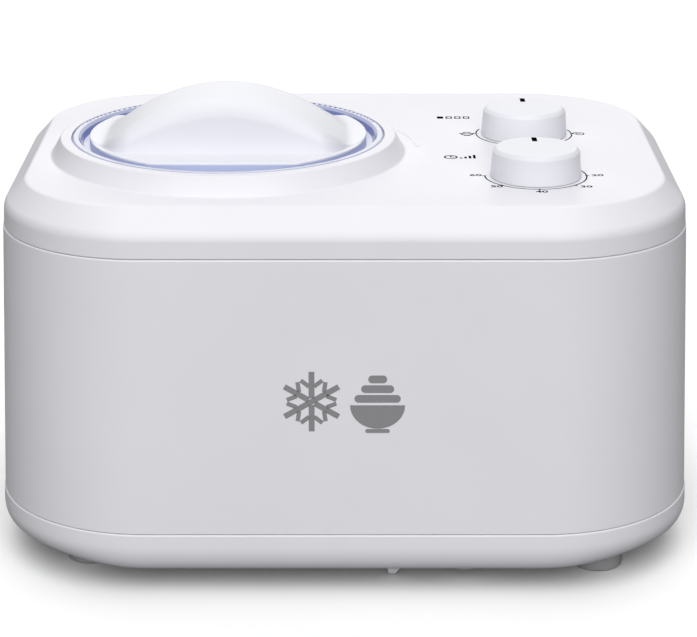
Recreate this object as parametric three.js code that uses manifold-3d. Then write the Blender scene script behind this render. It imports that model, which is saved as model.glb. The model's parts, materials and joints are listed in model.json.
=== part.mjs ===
// Compressor ice-cream and frozen-yogurt maker, in millimetres, +Z up.
// The origin is the middle of the footprint, on the surface that the feet stand on.
// +X is the user's right and -Y is the front.
import * as THREE from 'three';
import { mergeVertices } from 'three/addons/utils/BufferGeometryUtils.js';
import Module from 'manifold-3d';

const wasm = await Module();
wasm.setup();

// ---------- driving dimensions ----------
const GAP = 0.3; // between pieces that touch
const WALL = 3; // plastic wall
const WIDTH = 382; // case at half height
const DEPTH = 292;
const CORNER_RADIUS = 83;
const DRAFT = Math.tan(THREE.MathUtils.degToRad(2.25)); // the case widens towards the bottom
const MID_Z = 111.5;
const BASE_Z = 11; // underside of the base
const LOWER_SEAM_Z = 35.3;
const UPPER_SEAM_Z = 188.5;
const SHOULDER_Z = 203.5;
const TOP_Z = 214;
const COLLAR_Z = 224.5;
const FOOT_RADIUS = 14.5;
const FOOT_PLACES = {
  foot_front_left: [-142, -95],
  foot_front_right: [141, -105],
  foot_rear_left: [-142, 95],
  foot_rear_right: [141, 95],
};
const BASE_EDGE = 18; // rounded lower edge of the base
const PILLAR_RADIUS = 6;
const PILLARS = [[-58, -42], [58, -42], [-58, 42], [58, 42]]; // from the pot axis
const POST_RADIUS = 5;
const POSTS = [[20, -96], [160, -40], [20, 40], [150, 100]]; // under the chassis plate
const SCREWS = [[-171, -40], [171, -40], [-171, 40], [171, 40]];
const SCREW_HEAD_RADIUS = 3.9;
const SCREW_RADIUS = 2;
const VENTS = { count: 5, firstX: 48, pitch: 13, width: 5, y: [30, 84] };
const GLAND_X = -95;
const GLAND_Z = 62;
const GLAND_SEAT_RADIUS = 9.3;
const GRILLE_X = [-45, 105];
const GRILLE_Z = [46, 152];
const GRILLE_SLOT = { margin: 10, pitch: 9, width: 4 };

const POT_X = -66; // axis of lid, bowl, paddle and drive shaft
const POT_Y = -15;
const COLLAR_BASE_RADIUS = 99.9;
const COLLAR_TOP_RADIUS = 93.8;
const LID_RADIUS = 88.2;
const SKIRT_RADIUS = 85.9;
const LUG_ANGLES = [30, 150, 270];
const LID_FLOOR_Z = COLLAR_Z - 5;
const PLATE_TOP_Z = COLLAR_Z + 0.1;
const PLATE_RADIUS = 78.2;
const PLATE_Y = [-68.6, 41]; // straight front and back edges of the handle's plate
const HANDLE = {
  halfSpan: 72,
  height: 30.5,
  frontY: -47.7,
  ridgeFrontY: -36,
  ridgeBackY: -4,
  backY: 40,
};
const HANDLE_WALL = 2.6;
const SEAL_HEIGHT = 6.5;
const BOWL_INNER_RADIUS = 66.5;
const BOWL_FLOOR_Z = 103;
const BAIL_RADIUS = 67.3;
const CUP_INNER_RADIUS = 69.3;
const CUP_FLOOR_Z = 100;
const LEDGE_Z = 203.5; // the shelf inside the collar that carries the bowl
const COIL_RADIUS = 74.5;
const COIL_LOW_Z = 111;
const COIL_HIGH_Z = 186;
const COIL_TURNS = 4;
const COIL_TUBE_RADIUS = 2.4;
const LINE_ANGLE = 20; // where the refrigerant lines leave the insulation
const INSULATION_RADIUS = 92;

const KNOB_X = 104.4;
const MENU_Y = 24.7;
const TIME_Y = -69;
const KNOB_RADIUS = 24.95;
const KNOB_HEIGHT = 16.4;

const SHAFT_RADIUS = 6;
const RUNNING = 0.08; // radial clearance of a shaft in its bush
const GEAR_MODULE = 2;
const GEAR_TEETH = 36;
const PINION_TEETH = 12;
const PRESSURE_ANGLE = THREE.MathUtils.degToRad(25);
const GEAR_BACKLASH = 0.35;
const GEAR_Z = 70;
const GEAR_WIDTH = 9;
const MOTOR_OFFSET = (GEAR_MODULE * (GEAR_TEETH + PINION_TEETH)) / 2;
const BOX_LOW_Z = 62; // the gearbox, from the pot axis
const BOX_HIGH_Z = 84;
const BOX_X = [-64, 78];
const BOX_Y = [-50, 50];

const COMPRESSOR_X = 98;
const COMPRESSOR_Y = -48;
const COMPRESSOR_RADIUS = 45;
const MOUNT_CIRCLE = 40; // the compressor's three rubber mounts
const CHASSIS_Z = 20;
const FAN_X = 60;
const FAN_Y = 95;
const FAN_Z = 80;
const FAN_RADIUS = 43;
const SHROUD_SIZE = 112;

const rad = THREE.MathUtils.degToRad;

// ---------- solids ----------
// Welds a geometry's shared vertices, drops collapsed triangles and turns the faces outwards.
function toSolid(geometry) {
  const bare = geometry.clone();
  bare.deleteAttribute('normal');
  bare.deleteAttribute('uv');
  const welded = mergeVertices(bare, 1e-3);
  const position = welded.getAttribute('position');
  const index = welded.getIndex();
  const triangles = [];
  let volume = 0;
  const corner = [new THREE.Vector3(), new THREE.Vector3(), new THREE.Vector3()];
  for (let i = 0; i < index.count; i += 3) {
    const [a, b, c] = [index.getX(i), index.getX(i + 1), index.getX(i + 2)];
    if (a === b || b === c || c === a) continue;
    triangles.push([a, b, c]);
    [a, b, c].forEach((vertex, k) => corner[k].fromBufferAttribute(position, vertex));
    volume += corner[0].dot(corner[1].cross(corner[2]));
  }
  const outward = triangles.map(([a, b, c]) => (volume < 0 ? [a, c, b] : [a, b, c]));
  return new wasm.Manifold(new wasm.Mesh({
    numProp: 3,
    vertProperties: Float32Array.from(position.array),
    triVerts: Uint32Array.from(outward.flat()),
  }));
}

function toGeometry(solid) {
  const mesh = solid.getMesh();
  const geometry = new THREE.BufferGeometry();
  geometry.setAttribute('position', new THREE.BufferAttribute(Float32Array.from(mesh.vertProperties), 3));
  geometry.setIndex(new THREE.BufferAttribute(Uint32Array.from(mesh.triVerts), 1));
  geometry.computeVertexNormals();
  return geometry;
}

// A turned piece about Z. The profile is [radius, z] points, on the axis at both ends or closed.
function lathe(profile, segments = 24) {
  const points = profile.map(([r, z]) => new THREE.Vector2(r, z));
  return toSolid(new THREE.LatheGeometry(points, segments).rotateX(Math.PI / 2));
}

// A turned ring: the same, for a profile that stays off the axis.
function ring(profile, segments = 24) {
  return lathe([...profile, profile[0]], segments);
}

function tubeRing(inner, outer, low, high, segments = 24) {
  return ring([[inner, low], [outer, low], [outer, high], [inner, high]], segments);
}

function rod(radius, low, high, segments = 12) {
  return lathe([[0, low], [radius, low], [radius, high], [0, high]], segments);
}

function box([x0, x1], [y0, y1], [z0, z1]) {
  const geometry = new THREE.BoxGeometry(x1 - x0, y1 - y0, z1 - z0);
  return toSolid(geometry.translate((x0 + x1) / 2, (y0 + y1) / 2, (z0 + z1) / 2));
}

// A flat outline in XY, extruded from low to high.
function plate(shape, low, high, curveSegments = 4) {
  const geometry = new THREE.ExtrudeGeometry(shape, {
    depth: high - low,
    bevelEnabled: false,
    curveSegments,
  });
  return toSolid(geometry.translate(0, 0, low));
}

function roundedRectangle([x0, x1], [y0, y1], r) {
  const shape = new THREE.Shape();
  shape.moveTo(x0 + r, y0);
  shape.lineTo(x1 - r, y0);
  shape.absarc(x1 - r, y0 + r, r, -Math.PI / 2, 0);
  shape.lineTo(x1, y1 - r);
  shape.absarc(x1 - r, y1 - r, r, 0, Math.PI / 2);
  shape.lineTo(x0 + r, y1);
  shape.absarc(x0 + r, y1 - r, r, Math.PI / 2, Math.PI);
  shape.lineTo(x0, y0 + r);
  shape.absarc(x0 + r, y0 + r, r, Math.PI, Math.PI * 1.5);
  return shape;
}

// A pipe through a list of points.
function pipe(points, radius, steps = 16) {
  const path = new THREE.CatmullRomCurve3(points.map((p) => new THREE.Vector3(...p)), false, 'centripetal');
  const section = new THREE.Shape().absarc(0, 0, radius, 0, Math.PI * 2);
  return toSolid(new THREE.ExtrudeGeometry(section, { steps, extrudePath: path, curveSegments: 3 }));
}

// Skins a stack of rings with equal point counts, with a flat lid on the first and the last.
function skin(rings) {
  const count = rings[0].length;
  const positions = rings.flat(2);
  const triangles = [];
  for (let level = 0; level + 1 < rings.length; level += 1) {
    for (let i = 0; i < count; i += 1) {
      const a = level * count + i;
      const b = level * count + ((i + 1) % count);
      triangles.push(a, b, b + count, a, b + count, a + count);
    }
  }
  const last = (rings.length - 1) * count;
  for (let i = 1; i + 1 < count; i += 1) {
    triangles.push(0, i + 1, i, last, last + i, last + i + 1);
  }
  const geometry = new THREE.BufferGeometry();
  geometry.setAttribute('position', new THREE.BufferAttribute(Float32Array.from(positions), 3));
  geometry.setIndex(triangles);
  return toSolid(geometry);
}

// The case outline: a rounded rectangle whose corners keep their centres at every level.
function caseRing(cornerRadius, z, steps = 7) {
  const points = [];
  for (let side = 0; side < 4; side += 1) {
    const signX = side === 0 || side === 3 ? 1 : -1;
    const signY = side < 2 ? 1 : -1;
    for (let i = 0; i <= steps; i += 1) {
      const angle = rad(90 * (side + i / steps));
      points.push([
        signX * (WIDTH / 2 - CORNER_RADIUS) + cornerRadius * Math.cos(angle),
        signY * (DEPTH / 2 - CORNER_RADIUS) + cornerRadius * Math.sin(angle),
        z,
      ]);
    }
  }
  return points;
}

function caseLoft(profile) {
  return skin(profile.map(([radius, z]) => caseRing(radius, z)));
}

// Corner radius of the drafted outer wall at a height.
function wallRadius(z) {
  return CORNER_RADIUS + (MID_Z - z) * DRAFT;
}

function gearShape(teeth, bore, phase = 0) {
  const pitch = (GEAR_MODULE * teeth) / 2;
  const base = pitch * Math.cos(PRESSURE_ANGLE);
  const involute = (r) => {
    const angle = Math.acos(Math.min(1, base / r));
    return Math.tan(angle) - angle;
  };
  const half = (r) => Math.PI / (2 * teeth) - GEAR_BACKLASH / (2 * pitch) + involute(pitch) - involute(r);
  const radii = [pitch - 1.2 * GEAR_MODULE, pitch + 0.95 * GEAR_MODULE];
  const points = [];
  for (let tooth = 0; tooth < teeth; tooth += 1) {
    const middle = phase + (2 * Math.PI * tooth) / teeth;
    radii.forEach((r) => points.push([r, middle - half(Math.max(r, base))]));
    [...radii].reverse().forEach((r) => points.push([r, middle + half(Math.max(r, base))]));
  }
  const corners = points.map(([r, a]) => new THREE.Vector2(r * Math.cos(a), r * Math.sin(a)));
  const shape = new THREE.Shape(corners);
  shape.holes.push(new THREE.Path().absarc(0, 0, bore, 0, Math.PI * 2, true));
  return shape;
}

// ---------- materials ----------
function surface(color, roughness, metalness = 0, opacity = 1) {
  return new THREE.MeshStandardMaterial({
    color,
    roughness,
    metalness,
    opacity,
    transparent: opacity < 1,
  });
}

const material = {
  shell: surface(0xe4e4ea, 0.45),
  clear: surface(0xbcc8ee, 0.08, 0, 0.45),
  seal: surface(0xdadbe0, 0.7),
  rubber: surface(0x8d8d90, 0.8),
  aluminium: surface(0xc9cbce, 0.35, 1),
  steel: surface(0xb4b6ba, 0.4, 1),
  copper: surface(0xb87348, 0.35, 1),
  foam: surface(0xe9e6dc, 0.95),
  black: surface(0x1d1e20, 0.5),
  nylon: surface(0xe9e4d2, 0.5),
  board: surface(0x1f6b3f, 0.6),
  brass: surface(0xb9954c, 0.35, 1),
  darkMetal: surface(0x2a2b2e, 0.45, 0.6),
};

function piece(group, name, solid, look, position = [0, 0, 0]) {
  const mesh = new THREE.Mesh(toGeometry(solid), look);
  mesh.name = name;
  mesh.position.set(...position);
  group.add(mesh);
  return mesh;
}

function groupAt(x, y, z = 0) {
  const group = new THREE.Group();
  group.position.set(x, y, z);
  return group;
}

// ---------- case ----------
// Two moulded bosses under the front edge.
function wedgeBoss() {
  const wedge = new THREE.Shape();
  wedge.moveTo(22, BASE_Z + 1);
  wedge.lineTo(24, 1.2);
  wedge.lineTo(28, 0.6);
  wedge.lineTo(38, BASE_Z + 1);
  return plate(wedge, 0, 10).rotate([90, 0, 0]).translate([0, -114, 0]);
}

function dishBoss() {
  const profile = [[0, 4.5], [7, 4.5], [11, 7], [13, BASE_Z + 1], [0, BASE_Z + 1]];
  return lathe(profile, 14).translate([66, -112, 0]);
}

function baseTray() {
  const rim = LOWER_SEAM_Z - GAP / 2;
  const bend = wallRadius(BASE_Z + BASE_EDGE) - BASE_EDGE;
  const arc = (radius, angles) => angles.map((degrees) => [
    bend + radius * Math.sin(rad(degrees)),
    BASE_Z + BASE_EDGE - radius * Math.cos(rad(degrees)),
  ]);
  let tray = caseLoft([
    ...arc(BASE_EDGE, [0, 30, 60, 90]),
    [wallRadius(rim), rim],
    [wallRadius(rim) - WALL, rim],
    ...arc(BASE_EDGE - WALL, [90, 60, 30, 0]),
  ]);
  for (const [x, y] of PILLARS) {
    const pillar = rod(PILLAR_RADIUS, BASE_Z + 1, BOX_LOW_Z - GAP, 8);
    tray = tray.add(pillar.translate([POT_X + x, POT_Y + y, 0]));
  }
  for (const [x, y] of POSTS) {
    tray = tray.add(rod(POST_RADIUS, BASE_Z + 1, CHASSIS_Z - GAP, 8).translate([x, y, 0]));
  }
  for (const [x, y] of SCREWS) {
    const hole = rod(SCREW_RADIUS + GAP, BASE_Z - 2, 40, 8);
    const counterbore = rod(SCREW_HEAD_RADIUS + GAP, BASE_Z - 2, BASE_Z + 2.4, 10);
    tray = tray.add(rod(PILLAR_RADIUS, BASE_Z + 1, 46, 8).translate([x, y, 0]));
    tray = tray.subtract(hole.add(counterbore).translate([x, y, 0]));
  }
  tray = tray.add(wedgeBoss()).add(dishBoss());
  for (let slot = 0; slot < VENTS.count; slot += 1) {
    const x = VENTS.firstX + slot * VENTS.pitch;
    tray = tray.subtract(box([x, x + VENTS.width], VENTS.y, [BASE_Z - 1, BASE_Z + 5]));
  }
  return tray;
}

function sleeveShell() {
  const low = LOWER_SEAM_Z + GAP / 2;
  const high = UPPER_SEAM_Z - GAP / 2;
  const shell = caseLoft([[wallRadius(low), low], [wallRadius(high), high]]);
  const hollow = caseLoft([[wallRadius(low - 1) - WALL, low - 1], [wallRadius(high + 1) - WALL, high + 1]]);
  return shell.subtract(hollow);
}

function grilleWindow(inset) {
  return box(
    [GRILLE_X[0] + inset, GRILLE_X[1] - inset],
    [DEPTH / 2 - 20, DEPTH / 2 + 20],
    [GRILLE_Z[0] + inset, GRILLE_Z[1] - inset],
  );
}

function bodySleeve() {
  const glandHole = rod(GLAND_SEAT_RADIUS, -20, 20, 20).rotate([90, 0, 0]);
  const placed = glandHole.translate([GLAND_X, DEPTH / 2, GLAND_Z]);
  return sleeveShell().subtract(grilleWindow(0)).subtract(placed);
}

function rearGrille() {
  let grille = sleeveShell().intersect(grilleWindow(GAP));
  const { margin, pitch, width } = GRILLE_SLOT;
  const through = [DEPTH / 2 - 20, DEPTH / 2 + 20];
  const upright = [GRILLE_Z[0] + margin, GRILLE_Z[1] - margin];
  for (let x = GRILLE_X[0] + margin; x < GRILLE_X[1] - margin - 2; x += pitch) {
    grille = grille.subtract(box([x, x + width], through, upright));
  }
  return grille;
}

// The collar that the lid drops into, about the pot axis, with its bayonet groove and bowl shelf.
function collar() {
  const groove = SKIRT_RADIUS + 3.6;
  const ringSolid = ring([
    [COLLAR_BASE_RADIUS + 1.6, TOP_Z - 1.5],
    [COLLAR_BASE_RADIUS + 1.6, TOP_Z],
    [COLLAR_BASE_RADIUS - 0.5, TOP_Z + 1.4],
    [COLLAR_TOP_RADIUS + 0.6, COLLAR_Z - 1],
    [COLLAR_TOP_RADIUS - 0.9, COLLAR_Z],
    [LID_RADIUS + GAP, COLLAR_Z],
    [LID_RADIUS + GAP, COLLAR_Z - 3],
    [SKIRT_RADIUS + 0.4, COLLAR_Z - 3],
    [SKIRT_RADIUS + 0.4, COLLAR_Z - 11],
    [groove, COLLAR_Z - 11],
    [groove, LEDGE_Z],
    [72, LEDGE_Z],
    [72, LEDGE_Z - WALL],
    [groove + 3, LEDGE_Z - WALL],
    [groove + 3, TOP_Z - 1.5],
  ], 40);
  return LUG_ANGLES.reduce((solid, angle) => {
    const entry = box([SKIRT_RADIUS - 2, groove], [-8.5, 8.5], [LEDGE_Z + 2, COLLAR_Z - 2.6]);
    return solid.subtract(entry.rotate([0, 0, angle]));
  }, ringSolid);
}

function topCover() {
  const low = UPPER_SEAM_Z + GAP / 2;
  const rounded = SHOULDER_Z - 5;
  const top = wallRadius(SHOULDER_Z) - 12.8;
  let cover = caseLoft([
    [top - 1.6, TOP_Z - WALL],
    [wallRadius(SHOULDER_Z) - 4.6, SHOULDER_Z - 2],
    [wallRadius(low) - WALL, low],
    [wallRadius(low), low],
    [wallRadius(rounded), rounded],
    [wallRadius(SHOULDER_Z) - 2.5, SHOULDER_Z],
    [top + 0.6, TOP_Z - 0.6],
    [top - 2, TOP_Z],
  ]);
  cover = cover.subtract(rod(91, TOP_Z - 9, TOP_Z + 9, 40).translate([POT_X, POT_Y, 0]));
  cover = cover.add(collar().translate([POT_X, POT_Y, 0]));
  for (const y of [MENU_Y, TIME_Y]) {
    cover = cover.subtract(rod(5, TOP_Z - 9, TOP_Z + 9, 16).translate([KNOB_X, y, 0]));
  }
  return cover;
}

function foot() {
  return lathe([
    [0, 0],
    [FOOT_RADIUS - 1.6, 0],
    [FOOT_RADIUS, 2],
    [FOOT_RADIUS, BASE_Z - GAP],
    [0, BASE_Z - GAP],
  ], 20);
}

// Turned about Z, then laid along Y: a bush with a flange inside the wall and a hole for the cord.
function cordGland() {
  const neck = GLAND_SEAT_RADIUS - GAP;
  const bushing = ring([[3.8, 0], [neck, 0], [neck, 3.6], [12.5, 3.6], [12.5, 6.6], [3.8, 6.6]], 20);
  return bushing.rotate([90, 0, 0]);
}

function caseScrew() {
  const low = BASE_Z + 0.4;
  const shoulder = low + 1.7;
  return lathe([
    [0, low],
    [SCREW_HEAD_RADIUS, low],
    [SCREW_HEAD_RADIUS, shoulder],
    [SCREW_RADIUS, shoulder],
    [SCREW_RADIUS, 32],
    [0, 32],
  ], 12);
}

function addCase(group) {
  piece(group, 'base_tray', baseTray(), material.shell);
  piece(group, 'body_sleeve', bodySleeve(), material.shell);
  piece(group, 'rear_grille', rearGrille(), material.shell);
  piece(group, 'top_cover', topCover(), material.shell);
  piece(group, 'cord_gland', cordGland(), material.black, [GLAND_X, DEPTH / 2 + 1.7, GLAND_Z]);
  for (const [name, [x, y]] of Object.entries(FOOT_PLACES)) {
    piece(group, name, foot(), material.rubber, [x, y, 0]);
  }
  SCREWS.forEach(([x, y], i) => {
    piece(group, `case_screw_${i + 1}`, caseScrew(), material.steel, [x, y, 0]);
  });
}

// ---------- lid ----------
function lidDisc() {
  const inner = SKIRT_RADIUS - 2.7;
  let disc = lathe([
    [0, LID_FLOOR_Z - 3],
    [79, LID_FLOOR_Z - 3],
    [inner, LID_FLOOR_Z - 3.6],
    [inner, LEDGE_Z + 2.5],
    [SKIRT_RADIUS, LEDGE_Z + 2.5],
    [SKIRT_RADIUS, COLLAR_Z - 2.7],
    [LID_RADIUS, COLLAR_Z - 2.7],
    [LID_RADIUS, COLLAR_Z - 0.3],
    [LID_RADIUS - 0.4, COLLAR_Z],
    [82.2, COLLAR_Z],
    [81.3, COLLAR_Z - 0.5],
    [80.9, LID_FLOOR_Z + 0.4],
    [80.4, LID_FLOOR_Z],
    [0, LID_FLOOR_Z],
  ], 40);
  for (const angle of LUG_ANGLES) {
    const lug = box([SKIRT_RADIUS - 1, SKIRT_RADIUS + 1.8], [-6, 6], [LEDGE_Z + 4, LEDGE_Z + 8.5]);
    disc = disc.add(lug.rotate([0, 0, angle]));
  }
  return disc;
}

// One cross-section of the handle: an upright front, a rounded ridge and a long slope to the back.
function handleSection(x, shrink) {
  const span = HANDLE.halfSpan - shrink;
  const height = Math.max(0.05, (HANDLE.height - shrink) * (1 - (x / span) ** 2) ** 0.92);
  const front = HANDLE.frontY + shrink;
  const back = HANDLE.backY - shrink;
  const fillet = Math.min(HANDLE.ridgeFrontY - HANDLE.frontY, height * 0.9);
  const outline = [[front, 0]];
  for (const degrees of [0, 30, 60, 90]) {
    const along = fillet * (1 - Math.cos(rad(degrees)));
    outline.push([front + along, height - fillet * (1 - Math.sin(rad(degrees)))]);
  }
  const slope = 5;
  for (let i = 0; i <= slope; i += 1) {
    const t = i / slope;
    outline.push([
      THREE.MathUtils.lerp(HANDLE.ridgeBackY, back, t),
      height * Math.cos((t * Math.PI) / 2) ** 1.15,
    ]);
  }
  const floor = shrink > 0 ? LID_FLOOR_Z - 5 : PLATE_TOP_Z - 2;
  const loop = outline.map(([y, z]) => [x, y, PLATE_TOP_Z + Math.max(0, z)]);
  return [...loop, [x, back, floor], [x, front, floor]];
}

function handleArch(shrink) {
  const span = HANDLE.halfSpan - shrink - 0.01;
  const steps = 14;
  const rings = [];
  for (let i = 0; i <= steps; i += 1) {
    rings.push(handleSection(-span * Math.cos((Math.PI * i) / steps), shrink));
  }
  return skin(rings);
}

function lidHandle() {
  const outline = rod(PLATE_RADIUS, LID_FLOOR_Z - 20, COLLAR_Z + 60, 40);
  const band = box([-90, 90], PLATE_Y, [LID_FLOOR_Z + GAP, PLATE_TOP_Z]);
  return band.add(handleArch(0)).intersect(outline).subtract(handleArch(HANDLE_WALL));
}

function lidSeal() {
  const outer = SKIRT_RADIUS - 2.7 - GAP;
  const low = LEDGE_Z + 2.1;
  const high = low + SEAL_HEIGHT;
  return ring([[outer - 4, low], [outer, low], [outer, high], [outer - 2, high], [outer - 2, low + 2]], 32);
}

// ---------- bowl, paddle and freezing chamber ----------
function mixingBowl() {
  const outer = BOWL_INNER_RADIUS + 1.5;
  const floor = BOWL_FLOOR_Z;
  const rim = LEDGE_Z + GAP;
  let bowl = ring([
    [11, floor],
    [outer - 8, floor],
    [outer - 2.3, floor + 2.3],
    [outer, floor + 8],
    [outer, rim],
    [80, rim],
    [80, rim + 1.5],
    [BOWL_INNER_RADIUS, rim + 1.5],
    [BOWL_INNER_RADIUS, floor + 8.5],
    [BOWL_INNER_RADIUS - 2, floor + 3.5],
    [BOWL_INNER_RADIUS - 7, floor + 1.5],
    [12.5, floor + 1.5],
    [12.5, floor + 30],
    [11, floor + 30],
  ], 32);
  for (const side of [-1, 1]) {
    const ear = box([71, 75], [-4, 4], [rim + 0.5, rim + 8.4]);
    const eye = rod(2, 60, 90, 10).rotate([0, 90, 0]).translate([0, 0, rim + 4.7]);
    bowl = bowl.add(ear.subtract(eye).rotate([0, 0, side > 0 ? 0 : 180]));
  }
  return bowl;
}

// The wire bail lies folded to the back along the rim; its ends turn out into the bowl's ears.
function bowlBail() {
  const z = LEDGE_Z + GAP + 4.7;
  const arc = [];
  for (let degrees = 0; degrees <= 180; degrees += 15) {
    arc.push(polar(BAIL_RADIUS, degrees, z));
  }
  let bail = pipe(arc, 1.4, 16);
  for (const side of [-1, 1]) {
    bail = bail.add(pipe([[side * (BAIL_RADIUS - 1), 0, z], [side * 76, 0, z]], 1.4, 1));
  }
  return bail;
}

function paddle() {
  const floor = BOWL_FLOOR_Z + 1.5;
  const hub = lathe([
    [0, 149],
    [4.4, 149],
    [4.4, 137],
    [13.6, 137],
    [13.6, floor + 2],
    [18, floor + 2],
    [17, 150],
    [9, 172],
    [8, 176],
    [0, 177],
  ], 20);
  const socket = box([-4.3, 4.3], [-4.3, 4.3], [136, 149]);
  let solid = hub.subtract(socket);
  for (const side of [0, 180]) {
    const frame = new THREE.Shape();
    frame.moveTo(14.6, floor + 2);
    frame.lineTo(57, floor + 2);
    frame.lineTo(63, floor + 10);
    frame.lineTo(64.5, 150);
    frame.lineTo(60, 158);
    frame.lineTo(11, 165);
    const window = new THREE.Path();
    window.moveTo(24, floor + 14);
    window.lineTo(21, 146);
    window.lineTo(54, 142);
    window.lineTo(54, floor + 14);
    frame.holes.push(window);
    const blade = plate(frame, -1.8, 1.8).rotate([90, 0, 0]);
    solid = solid.add(blade.rotate([0, 0, side]));
  }
  return solid;
}

function evaporatorCup() {
  const outer = CUP_INNER_RADIUS + 1.2;
  const flange = LEDGE_Z - WALL - 2.3;
  return ring([
    [8.6, CUP_FLOOR_Z],
    [outer - 6, CUP_FLOOR_Z],
    [outer, CUP_FLOOR_Z + 6],
    [outer, flange - 1.2],
    [86, flange - 1.2],
    [86, flange],
    [CUP_INNER_RADIUS, flange],
    [CUP_INNER_RADIUS, CUP_FLOOR_Z + 6.4],
    [CUP_INNER_RADIUS - 5.4, CUP_FLOOR_Z + 1.2],
    [9.8, CUP_FLOOR_Z + 1.2],
    [9.8, CUP_FLOOR_Z + 28],
    [8.6, CUP_FLOOR_Z + 28],
  ], 28);
}

function chamberGasket() {
  return tubeRing(73, 86, LEDGE_Z - WALL - 2, LEDGE_Z - WALL - GAP, 28);
}

function polar(radius, degrees, z) {
  return [radius * Math.cos(rad(degrees)), radius * Math.sin(rad(degrees)), z];
}

function evaporatorCoil() {
  const turns = 360 * COIL_TURNS;
  const points = [];
  for (let degrees = 0; degrees <= turns; degrees += 20) {
    const z = THREE.MathUtils.lerp(COIL_LOW_Z, COIL_HIGH_Z, degrees / turns);
    points.push(polar(COIL_RADIUS, LINE_ANGLE + degrees, z));
  }
  let coil = pipe(points, COIL_TUBE_RADIUS, 18 * COIL_TURNS);
  for (const z of [COIL_LOW_Z, COIL_HIGH_Z]) {
    const ends = [polar(COIL_RADIUS - 1, LINE_ANGLE, z), polar(98, LINE_ANGLE, z)];
    coil = coil.add(pipe(ends, COIL_TUBE_RADIUS, 1));
  }
  return coil;
}

function insulationShell() {
  const floor = 89;
  const inner = COIL_RADIUS + 3.7;
  const shell = ring([
    [12, floor],
    [INSULATION_RADIUS, floor],
    [INSULATION_RADIUS, LEDGE_Z - WALL - 4],
    [inner, LEDGE_Z - WALL - 4],
    [inner, CUP_FLOOR_Z - GAP],
    [12, CUP_FLOOR_Z - GAP],
  ], 28);
  const lineSlot = box([inner - 4, INSULATION_RADIUS + 4], [-7, 7], [CUP_FLOOR_Z + 3, LEDGE_Z]);
  return shell.subtract(lineSlot.rotate([0, 0, LINE_ANGLE]));
}

// ---------- drive ----------
function gearboxHousing() {
  const outer = plate(roundedRectangle(BOX_X, BOX_Y, 14), BOX_LOW_Z, BOX_HIGH_Z);
  const inner = plate(
    roundedRectangle([BOX_X[0] + WALL, BOX_X[1] - WALL], [BOX_Y[0] + WALL, BOX_Y[1] - WALL], 11),
    BOX_LOW_Z + WALL,
    BOX_HIGH_Z + 1,
  );
  const bushSeat = rod(10.3, BOX_LOW_Z - 1, BOX_LOW_Z + 5, 24);
  const motorHole = rod(5, BOX_LOW_Z - 1, BOX_LOW_Z + 5, 20).translate([MOTOR_OFFSET, 0, 0]);
  return outer.subtract(inner).subtract(bushSeat).subtract(motorHole);
}

function gearboxCover() {
  const lid = plate(roundedRectangle(BOX_X, BOX_Y, 14), BOX_HIGH_Z + GAP, BOX_HIGH_Z + 3.5);
  return lid.subtract(rod(10.3, BOX_HIGH_Z - 1, BOX_HIGH_Z + 5, 24));
}

function bush(low, high) {
  return ring([
    [SHAFT_RADIUS + RUNNING, low],
    [10, low],
    [10, high],
    [SHAFT_RADIUS + RUNNING, high],
  ], 24);
}

function driveShaft() {
  const round = rod(SHAFT_RADIUS, BOX_LOW_Z + 0.5, 137, 24);
  return round.add(box([-4, 4], [-4, 4], [130, 146.5]));
}

function driveGear() {
  return plate(gearShape(GEAR_TEETH, SHAFT_RADIUS + 0.1), GEAR_Z, GEAR_Z + GEAR_WIDTH, 12);
}

function drivePinion() {
  const wheel = plate(gearShape(PINION_TEETH, 2, Math.PI / PINION_TEETH), GEAR_Z, GEAR_Z + GEAR_WIDTH, 6);
  return wheel.add(rod(2.5, 48, GEAR_Z + GEAR_WIDTH, 12));
}

function driveMotor() {
  const can = lathe([
    [0, 18],
    [8, 18],
    [8, 20],
    [21, 20],
    [23, 22],
    [23, 56],
    [21, 58],
    [10, 58],
    [10, BOX_LOW_Z - GAP],
    [2.8, BOX_LOW_Z - GAP],
    [2.8, 46],
    [0, 46],
  ], 16);
  return can;
}

function addPot(group) {
  const pot = groupAt(POT_X, POT_Y);
  group.add(pot);
  piece(pot, 'lid_disc', lidDisc(), material.clear);
  piece(pot, 'lid_handle', lidHandle(), material.shell);
  piece(pot, 'lid_seal', lidSeal(), material.seal);
  piece(pot, 'mixing_bowl', mixingBowl(), material.aluminium);
  piece(pot, 'bowl_bail', bowlBail(), material.steel);
  piece(pot, 'paddle', paddle(), material.shell);
  piece(pot, 'evaporator_cup', evaporatorCup(), material.aluminium);
  piece(pot, 'chamber_gasket', chamberGasket(), material.seal);
  piece(pot, 'evaporator_coil', evaporatorCoil(), material.copper);
  piece(pot, 'insulation_shell', insulationShell(), material.foam);
  piece(pot, 'shaft_seal', tubeRing(SHAFT_RADIUS + RUNNING, 8.3, 122, 127), material.black);
  piece(pot, 'gearbox_housing', gearboxHousing(), material.black);
  piece(pot, 'gearbox_cover', gearboxCover(), material.black);
  piece(pot, 'lower_bush', bush(BOX_LOW_Z, GEAR_Z - 1), material.brass);
  piece(pot, 'upper_bush', bush(GEAR_Z + GEAR_WIDTH + 1, 88), material.brass);
  piece(pot, 'drive_shaft', driveShaft(), material.steel);
  piece(pot, 'drive_gear', driveGear(), material.nylon);
  piece(pot, 'drive_pinion', drivePinion(), material.steel, [MOTOR_OFFSET, 0, 0]);
  piece(pot, 'drive_motor', driveMotor(), material.darkMetal, [MOTOR_OFFSET, 0, 0]);
}

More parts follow.
